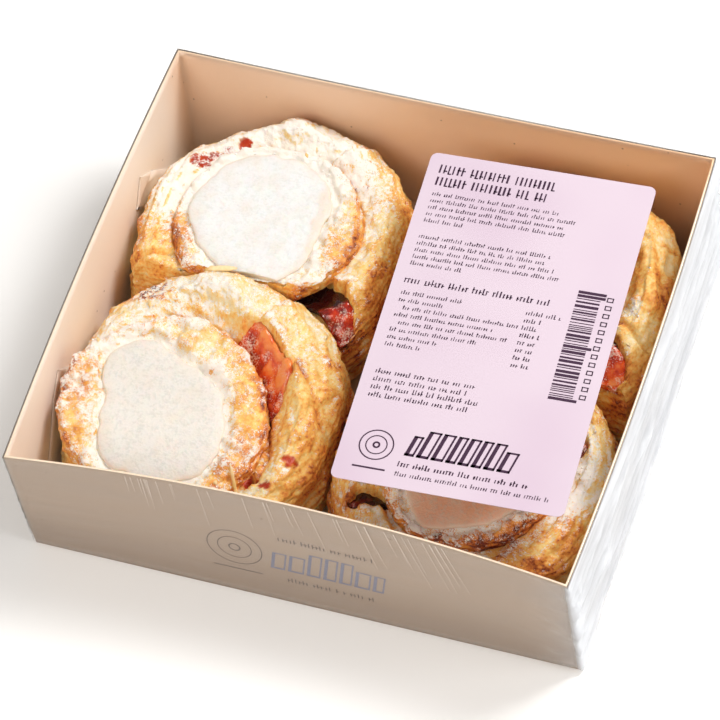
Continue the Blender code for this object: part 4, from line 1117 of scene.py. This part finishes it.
def scatter(name, pastry, surfaces):
    # loose flakes of crust and grains of sugar that lie on the pastry
    draw = np.random.default_rng(pastry["seed"] * 7 + 5)
    points = np.concatenate([grid.reshape(-1, 3) for grid, _, _ in surfaces])
    normals = np.concatenate([facing.reshape(-1, 3) for _, facing, _ in surfaces])
    sugar = np.concatenate([layer.ravel() for _, _, layer in surfaces])
    up = np.flatnonzero((normals[:, 2] > 0.6) & (points[:, 2] > 27))
    flakes = []
    for i in draw.choice(up, crumbs["flakes"], replace=False):
        size = draw.uniform(*crumbs["flakeSize"])
        turned = draw.uniform(0, 2 * math.pi)
        side = np.array((math.cos(turned), math.sin(turned), 0))
        side -= normals[i] * side.dot(normals[i])
        across = np.cross(normals[i], side) * draw.uniform(0.35, 0.9)
        lift = normals[i] * draw.uniform(0.08, 0.20)
        tilt = normals[i] * size * draw.uniform(0.0, 0.12)
        base = points[i] + lift
        ring = [base + size * (c * side + d * across) * draw.uniform(0.4, 1.0) + t * tilt
                for c, d, t in ((-0.7, -0.2, 0), (0.1, -0.6, 1), (0.7, 0.2, 1), (-0.2, 0.5, 0))]
        flakes.append(ring)
    loose = flatFaces(f"flakes.{name}", flakes, looseFlake)
    thick = loose.modifiers.new("flakeThickness", "SOLIDIFY")
    thick.thickness = crumbs["flakeThickness"] * 0.001
    # long thin flakes, each a strip that follows the surface
    for number, (x, y, length, width, turned) in enumerate(pastry["shards"]):
        ahead = np.array((math.cos(math.radians(turned)), math.sin(math.radians(turned)), 0.0))
        beside = np.array((-ahead[1], ahead[0], 0.5))
        strip = []
        for t in np.linspace(-0.5, 0.5, 13):
            middle = np.array((x, y, 0.0)) + t * length * ahead
            near = points[up[np.argmin(np.hypot(*(points[up] - middle)[:, :2].T))]]
            middle[2] = near[2] + 0.4 + 0.6 * (1 - 4 * t * t)
            half = 0.5 * width * (1 - 0.7 * abs(2 * t) ** 3)
            strip.append([middle + way * half * beside for way in (-1, -0.3, 0.3, 1)])
        shard = sheetMesh(f"shard{number + 1}.{name}", np.array(strip), looseFlake)
        crisp = shard.modifiers.new("flakeThickness", "SOLIDIFY")
        crisp.thickness = crumbs["shardThickness"] * 0.001
    weights = np.clip(sugar[up], 0.02, 1.0) ** 1.5
    grains = []
    for i in draw.choice(up, crumbs["grains"], replace=False, p=weights / weights.sum()):
        size = draw.uniform(*crumbs["grainSize"])
        axes = np.linalg.qr(draw.normal(size=(3, 3)))[0] * size
        base = points[i] + normals[i] * size * 0.5
        for k in range(3):
            a, b, c = axes[k], axes[(k + 1) % 3], axes[(k + 2) % 3]
            for way in (-1, 1):
                grains.append([base + 0.7 * (way * a + p * b + way * q * c)
                               for p, q in ((-1, -1), (1, -1), (1, 1), (-1, 1))])
    dusting = flatFaces(f"sugarGrains.{name}", grains, sugarGrain)


def plainMaterial(name, colour, shade, size, roughness):
    # one natural material whose colour drifts between two tones
    material, tree = newMaterial(name)
    place = addNode(tree, "TexCoord").outputs["Object"]
    drift = addNode(tree, "TexNoise", {"Vector": place, "Scale": spread(size), "Detail": 2.0}).outputs["Fac"]
    amount = addNode(tree, "MapRange", {"Value": drift, "From Min": 0.35, "From Max": 0.65})
    tone = addNode(tree, "Mix", {0: amount.outputs[0], 6: hexColour(colour), 7: hexColour(shade)},
                   data_type="RGBA")
    shader = addNode(tree, "BsdfPrincipled", {"Base Color": tone.outputs[2], "Roughness": roughness})
    addNode(tree, "OutputMaterial", {"Surface": shader.outputs[0]})
    return material


looseFlake = plainMaterial("crispDoughFlake", "#FDEBC0", "#F3CB80", 4.0, 0.45)
sugarGrain = plainMaterial("sugarGrain", "#FFFFFF", "#F4EFE8", 2.0, 0.5)

makeTray()
for name, pastry in pastries.items():
    crustSurface = makeCrust(name, pastry)
    makeJam(name, pastry, appleJam)
    lidSurface = makeLid(name, pastry)
    makeIcing(name, pastry, icings.get(name, creamIcing))
    scatter(name, pastry, [crustSurface, lidSurface])
    print("pastry made:", name)


# Film

film = {
    "gap": 0.35, "lift": 1.5, "perimeter": 560, "topRings": 14, "wallRings": 44,
    "foldHeight": 1.1, "flatHeight": 0.12, "cornerHeight": 1.5,
    # creases run from the front rim down and to the right, more so towards the right end
    "creases": 38, "creaseSteps": 8, "creaseLean": (0.18, 0.24), "creaseHeight": 0.12,
    "creaseLength": (7, 20), "creaseWidth": (0.05, 0.085), "creaseSpan": (-0.60, 0.66), "creaseGrowth": 14,
    # how milky loose and taut film are, each in all and more in its folds, and how much more corners are; the
    # loose film's milk is partly painted light, whitening the brightly lit right wall
    "looseMilkAndPaintedLight": (0.62, 0.26), "tautMilk": (0.02, 0.04), "cornerMilk": 0.20,
}


def makeFilm():
    s = film
    wrap = filmMaterial("stretchedWrappingFilm", filmFinish["sheetIor"], filmFinish["haze"])
    share = np.arange(s["perimeter"]) / s["perimeter"] * 4
    side = np.floor(share).astype(int) % 4
    run = (share - np.floor(share)) * 2 - 1
    a = np.choose(side, (run, 1.0, -run, -1.0))
    b = np.choose(side, (-1.0, run, 1.0, -run))
    foot = s["lift"] / tray["height"]
    rise = np.concatenate((np.ones(s["topRings"]), np.linspace(1, foot, s["wallRings"])))
    spreadOut = np.concatenate((np.linspace(0.02, 0.995, s["topRings"]), np.ones(s["wallRings"])))
    acrossTray, riseH = np.meshgrid(a, rise)
    alongTray, out = np.meshgrid(b, spreadOut)
    grid = boxPoints(acrossTray, alongTray, riseH, s["gap"])
    top = np.arange(len(rise))[:, None] < s["topRings"]
    grid[..., 0] *= out
    grid[..., 1] *= out
    grid[..., 2] += 0.45 * (out < 1) + 0.30 * ((out == 1) & (riseH == 1))
    flat = grid.reshape(-1, 3)
    shape = acrossTray.shape
    normals = normalsOf(grid)
    # long folds that run along the walls, bigger on the right wall and at the corners
    stretched = flat * np.where(np.abs(acrossTray.ravel())[:, None] == 1, (1, 0.10, 1), (0.10, 1, 1))
    folds = ridgesAt(stretched, 6.0, 71).reshape(shape) + 0.5 * ridgesAt(stretched, 3.0, 72).reshape(shape)
    nearCorner = bump(1 - acrossTray, 0.10) * bump(1 - np.abs(alongTray), 0.10)
    crumple = fractalAt(flat, 7.0, 75, 3, 0.6).reshape(shape)
    onWall = (~top) & (riseH < 0.999)
    ends = acrossTray > 0.999
    away = np.minimum(1, (1 - riseH) * 6)
    push = folds * np.where(ends, s["foldHeight"], s["flatHeight"])
    push = push + s["cornerHeight"] * np.maximum(0, crumple) * nearCorner
    grid = grid + normals * (push * onWall * away)[..., None]
    grid[..., 2] = np.maximum(grid[..., 2], s["lift"])
    # the loose film on the right wall is milky, and whiter still as painted light, and the taut film on the
    # others is nearly clear
    loose, taut = (s[k][0] + s[k][1] * folds for k in ("looseMilkAndPaintedLight", "tautMilk"))
    milky = np.where(ends, loose, taut) + s["cornerMilk"] * nearCorner
    haze = np.where(onWall, milky, 0.0)
    piece = sheetMesh("wrappingFilm", grid, wrap, {"haze": np.clip(haze, 0, 0.9)}, closed=True)
    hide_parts("film")

    # fine creases, each a thin raised line in the film
    draw = np.random.default_rng(12)
    streaks = []
    for _ in range(s["creases"]):
        start = draw.uniform(*s["creaseSpan"])
        lean = s["creaseLean"][0] + s["creaseLean"][1] * start + draw.normal(0, 0.02)
        length = draw.uniform(*s["creaseLength"]) + s["creaseGrowth"] * max(0.0, start)
        streaks.append((start, length, draw.uniform(*s["creaseWidth"]), lean))
    quads = []
    for start, length, width, lean in streaks:
        previous = None
        for k in range(s["creaseSteps"] + 1):
            t = k / s["creaseSteps"]
            drop = t * length
            h = 1 - 0.012 - drop / tray["height"]
            if h < 0.05:
                break
            x = start * tray["width"] / 2 + lean * drop
            aHere = x / (tray["width"] / 2)
            if abs(aHere) > 0.99:
                break
            y = -(float(longReach(aHere, h, True)) + s["gap"] + 0.12)
            w = width * (1 - 0.75 * t)
            z = h * tray["height"]
            ridge = y - s["creaseHeight"] * (1 - 0.6 * t)
            here = (np.array((x - w, y, z)), np.array((x + w, y, z)), np.array((x, ridge, z)))
            if previous is not None:
                quads.append([previous[0], previous[2], here[2], here[0]])
                quads.append([previous[2], previous[1], here[1], here[2]])
            previous = here
    creased = filmMaterial("creasedWrappingFilm", filmFinish["creaseIor"], filmFinish["crease"])
    creases = flatFaces("filmCreases", quads, creased)
    layer = creases.data.attributes.new("haze", "FLOAT", "POINT")
    milkiness = np.full(len(creases.data.vertices), filmFinish["creaseHaze"], np.float32)
    layer.data.foreach_set("value", milkiness)
    print("film made")


makeFilm()

# Label and its print

label = {
    "size": (72.0, 122.0), "centre": (42.3, 1.1), "turn": 3.0, "level": 55.6,
    "ink": "#3A2038",
    # upright stripes: left edge, top, foot, and lengths of short and long ones; where long ones stand
    "stripes": (57.4, 42.0, 82.0, 7.4, 8.8), "longStripes": [(0.0, 43.5), (61.4, 62.6), (80.5, 99.0)],
    # small frames beside them: how many, left and right edge, first top, height and pitch
    "frames": (13, 66.6, 68.7, 43.0, 1.7, 3.0),
    # rings, as radius and line, round a place, and the bar under them
    "rings": [(5.4, 0.42), (3.4, 0.36), (1.2, 0.6)], "ringPlace": (11.0, 108.4), "ringSteps": 28,
    "bar": (5.6, 116.4, 15.8, 117.0),
    # slanted frames: left, right, foot, small and tall height, lean and weight of line
    "blocks": (20.0, 50.0, 0.0, 7.4, 9.8, 0.22, 0.085), "blocksFoot": 110.4,
}
# rows of strokes on the label: left edge, distance from the top edge, length, height and heaviness
printedRows = (
    [(3.8, 4.2, 38, 3.2, 0.62), (3.8, 8.9, 35, 3.2, 0.62)]
    + [(4.0, 14.6 + 2.55 * i, w, 1.5, 0.30) for i, w in enumerate((40, 46, 43, 45, 12))]
    + [(4.0, 31.0 + 2.55 * i, w, 1.5, 0.30) for i, w in enumerate((42, 40, 44, 46, 16))]
    + [(3.8, 47.2, 46, 2.3, 0.46)]
    + [(4.0 + (2.0 if i in (2, 4) else 0.0), 52.4 + 2.75 * i, w, 1.5, 0.32)
       for i, w in enumerate((19, 14, 36, 31, 34, 27, 15, 11))]
    + [(43.5, 52.4 + 2.75 * i, w, 1.6, 0.36) for i, w in enumerate((11, 5, 5, 6, 5, 5, 5, 5))]
    + [(3.8, 81.5 + 2.85 * i, w, 1.8, 0.36) for i, w in enumerate((31, 29, 33, 31))]
    + [(19.0, 112.6, 40, 1.9, 0.46), (19.0, 116.2, 47, 1.6, 0.32)]
)


def onLabel(u, v, lift=0.04):
    # a place on the label, from its top left corner, as a point of the pack
    turn = math.radians(label["turn"])
    x = u - label["size"][0] / 2
    y = label["size"][1] / 2 - v
    cx, cy = label["centre"]
    return (cx + x * math.cos(turn) - y * math.sin(turn), cy + x * math.sin(turn) + y * math.cos(turn),
            label["level"] + lift)


def labelBox(u0, v0, u1, v1, slant=0.0):
    return [onLabel(u0, v1), onLabel(u1, v1), onLabel(u1 + slant, v0), onLabel(u0 + slant, v0)]


def hollowBox(u0, v0, u1, v1, line):
    return [labelBox(u0, v0, u1, v0 + line), labelBox(u0, v1 - line, u1, v1),
            labelBox(u0, v0, u0 + line, v1), labelBox(u1 - line, v0, u1, v1)]


def openBlocks(draw, left, right, foot, small, tall, lean, weight):
    # a row of slanted frames, heavier at their left and foot, each bar as two corners and a slant
    bars = []
    u = left
    while u < right:
        wide = draw.uniform(0.40, 0.58) * small
        head = draw.choice((small, small, tall))
        line = weight * small
        bars.append((u, 0, u + 2.0 * line, head, lean * head))
        bars.append((u + wide - line, 0, u + wide, head, lean * head))
        bars.append((u + lean * head, head - line, u + wide + lean * head, head, 0))
        bars.append((u, 0, u + wide, 1.5 * line, 0))
        u += wide + 0.10 * small
    return [(a, foot + b, c, foot + d, e) for a, b, c, d, e in bars]


def makeLabel():
    draw = random.Random(44)
    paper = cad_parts["label"]
    paper.data.materials.clear()
    paper.data.materials.append(paperMaterial("calenderedLabelPaper"))
    ink = inkMaterial("plumFlexoInk", label["ink"], 0.4)
    marks = []
    # rows of upright strokes in groups, as far as the eye makes them out
    for left, top, length, height, heavy in printedRows:
        u = left
        pitch = 0.1 + 0.34 * height
        while u < left + length:
            word = draw.choice((3, 4, 5, 6, 7, 9))
            for _ in range(word):
                tall = height * (1.0 if height > 3 else draw.choice((0.62, 0.62, 0.70, 1.0)))
                foot = top + height
                marks.append(labelBox(u, foot - tall, u + heavy * draw.uniform(0.7, 1.1), foot, 0.12))
                if draw.random() < 0.45:
                    bar = top + height - 0.62 * height * draw.choice((0.05, 0.5, 1.0)) - 0.2
                    marks.append(labelBox(u, bar, u + pitch, bar + 0.15 * height))
                u += pitch + heavy * 0.4
                if u > left + length:
                    break
            u += 1.3 * pitch
    # stripes of varied width, longer at both ends and in the middle
    left, v, foot, short, long = label["stripes"]
    while v < foot:
        wide = draw.choice((0.33, 0.33, 0.66, 1.0))
        reach = long if any(top < v < end for top, end in label["longStripes"]) else short
        marks.append(labelBox(left, v, left + reach, v + wide))
        v += wide + draw.choice((0.33, 0.4, 0.7))
    count, left, right, first, height, pitch = label["frames"]
    for k in range(count):
        top = first + k * pitch
        marks += hollowBox(left, top, right, top + height, 0.36)
    # plain rings over a bar
    cu, cv = label["ringPlace"]
    for radius, line in label["rings"]:
        for k in range(label["ringSteps"]):
            t0, t1 = (2 * math.pi * n / label["ringSteps"] for n in (k, k + 1))
            inner = radius - line
            marks.append([onLabel(cu + r * math.cos(t), cv + r * math.sin(t))
                          for r, t in ((inner, t1), (radius, t1), (radius, t0), (inner, t0))])
    marks.append(labelBox(*label["bar"]))
    foot = label["blocksFoot"]
    for u0, v0, u1, v1, lean in openBlocks(draw, *label["blocks"]):
        marks.append(labelBox(u0, foot - v1, u1, foot - v0, lean))
    piece = flatFaces("labelPrint", marks, ink)
    print("label printed")


frontPrint = {
    "ink": "#7E7F90", "outline": "#6A5E57",
    # rings, as radius and line, round a place, and the bar under them
    "rings": [(9.0, 0.35), (5.6, 0.32), (2.0, 0.5)], "ringPlace": (-20.0, 24.5), "ringSteps": 36,
    "bar": (-28.0, 12.4, -12.0, 12.9),
    # rows of strokes: left edge, level and length
    "rows": [(-5.0, 33.5, 31.0), (-4.0, 11.5, 28.0)],
    # slanted frames: left, right, foot, small and tall height, lean and weight of line
    "blocks": (-9.0, 24.0, 17.5, 9.0, 12.0, 0.16, 0.06),
}


def onFront(x, z, lift=0.05):
    # a place on the front wall, by its distance from the middle and its height
    h = z / tray["height"]
    return (x, -(float(longReach(x / (tray["width"] / 2), h, True)) + lift), z)


def frontBox(x0, z0, x1, z1, slant=0.0):
    return [onFront(x0, z0), onFront(x1, z0), onFront(x1 + slant, z1), onFront(x0 + slant, z1)]


def makeFrontPrint():
    draw = random.Random(9)
    s = frontPrint
    outline = []
    cx, cz = s["ringPlace"]
    for radius, line in s["rings"]:
        inner = radius - line
        for k in range(s["ringSteps"]):
            t0, t1 = (2 * math.pi * n / s["ringSteps"] for n in (k, k + 1))
            outline.append([onFront(cx + r * math.cos(t), cz + r * math.sin(t))
                            for r, t in ((radius, t0), (radius, t1), (inner, t1), (inner, t0))])
    outline.append(frontBox(*s["bar"]))
    for left, level, length in s["rows"]:
        x = left
        while x < left + length:
            outline.append(frontBox(x, level, x + 0.4, level + draw.choice((1.6, 1.6, 2.2))))
            if draw.random() < 0.5:
                outline.append(frontBox(x, level + 0.8, x + 1.0, level + 1.1))
            x += draw.choice((1.2, 1.2, 1.5, 2.3))
    piece = flatFaces("frontOutlinePrint", outline, inkMaterial("greyBoardInk", s["outline"], 0.5))
    bars = [frontBox(*bar) for bar in openBlocks(draw, *s["blocks"])]
    piece = flatFaces("frontBandPrint", bars, inkMaterial("blueBoardInk", s["ink"], 0.5))
    print("front wall printed")


makeLabel()
makeFrontPrint()

# Floor, light and camera

camera = {"azimuth": 26.86, "elevation": 55.91, "roll": -10.38, "distance": 1400.6,
          "target": (-3.2, -2.7, 27.3), "lens": 225.0, "sensor": 36.0}
studio = {
    "world": 0.33, "worldColour": "#FFFFFF", "floor": "#FFFFFF", "floorReach": 2500,
    # the taut film would mirror this low light and hide the food in a view from the left
    "unmirrored": "right",
    # place in millimetres, size, watts and colour of each soft light
    "lights": {
        "key": ((560, 520, 1050), 480, 12.4, "#FFFEFC"),
        "right": ((1150, -80, 480), 650, 7.4, "#FFFFFF"),
        "front": ((-350, -1100, 900), 900, 10.3, "#FFF5E9"),
    },
}


def makeStudio():
    s = studio
    world = bpy.data.worlds.new("softStudio")
    world.use_nodes = True
    background = world.node_tree.nodes["Background"]
    background.inputs["Color"].default_value = hexColour(s["worldColour"])
    background.inputs["Strength"].default_value = s["world"]
    bpy.context.scene.world = world
    for name, (place, size, watts, colour) in s["lights"].items():
        lamp = bpy.data.lights.new(name, "AREA")
        lamp.size = size * 0.001
        lamp.energy = watts
        lamp.color = hexColour(colour)[:3]
        light = bpy.data.objects.new(name, lamp)
        light.location = Vector(place) * 0.001
        light.rotation_euler = (-light.location).to_track_quat("-Z", "Y").to_euler()
        light.visible_glossy = name != s["unmirrored"]
        bpy.context.scene.collection.objects.link(light)
    material, tree = newMaterial("paleStudioPaper")
    shader = addNode(tree, "BsdfPrincipled", {"Base Color": hexColour(s["floor"]), "Roughness": 0.9})
    addNode(tree, "OutputMaterial", {"Surface": shader.outputs[0]})
    reach = s["floorReach"] * 0.001
    corners = [(-reach, reach, 0.0), (reach, reach, 0.0), (-reach, -reach, 0.0), (reach, -reach, 0.0)]
    mesh = bpy.data.meshes.new("studioFloor")
    mesh.from_pydata(corners, [], [(0, 2, 3, 1)])
    mesh.materials.append(material)
    floor = bpy.data.objects.new("studioFloor", mesh)
    bpy.context.scene.collection.objects.link(floor)


def makeCamera():
    # stands off the target at an azimuth and elevation, then rolls about its own view
    s = camera
    azimuth, elevation, roll = (math.radians(s[k]) for k in ("azimuth", "elevation", "roll"))
    back = Vector((math.sin(azimuth) * math.cos(elevation), -math.cos(azimuth) * math.cos(elevation),
                   math.sin(elevation)))
    level = Vector((math.cos(azimuth), math.sin(azimuth), 0))
    upright = back.cross(level)
    right = level * math.cos(roll) + upright * math.sin(roll)
    up = upright * math.cos(roll) - level * math.sin(roll)
    lens = bpy.data.cameras.new("photoCamera")
    lens.lens = s["lens"]
    lens.sensor_width = s["sensor"]
    eye = bpy.data.objects.new("photoCamera", lens)
    place = (Vector(s["target"]) + back * s["distance"]) * 0.001
    axes = Matrix((right, up, back)).transposed().to_4x4()
    eye.matrix_world = Matrix.Translation(place) @ axes
    bpy.context.scene.collection.objects.link(eye)
    bpy.context.scene.camera = eye


makeStudio()
makeCamera()
bpy.context.scene.view_settings.view_transform = "Standard"
print("studio and camera set")
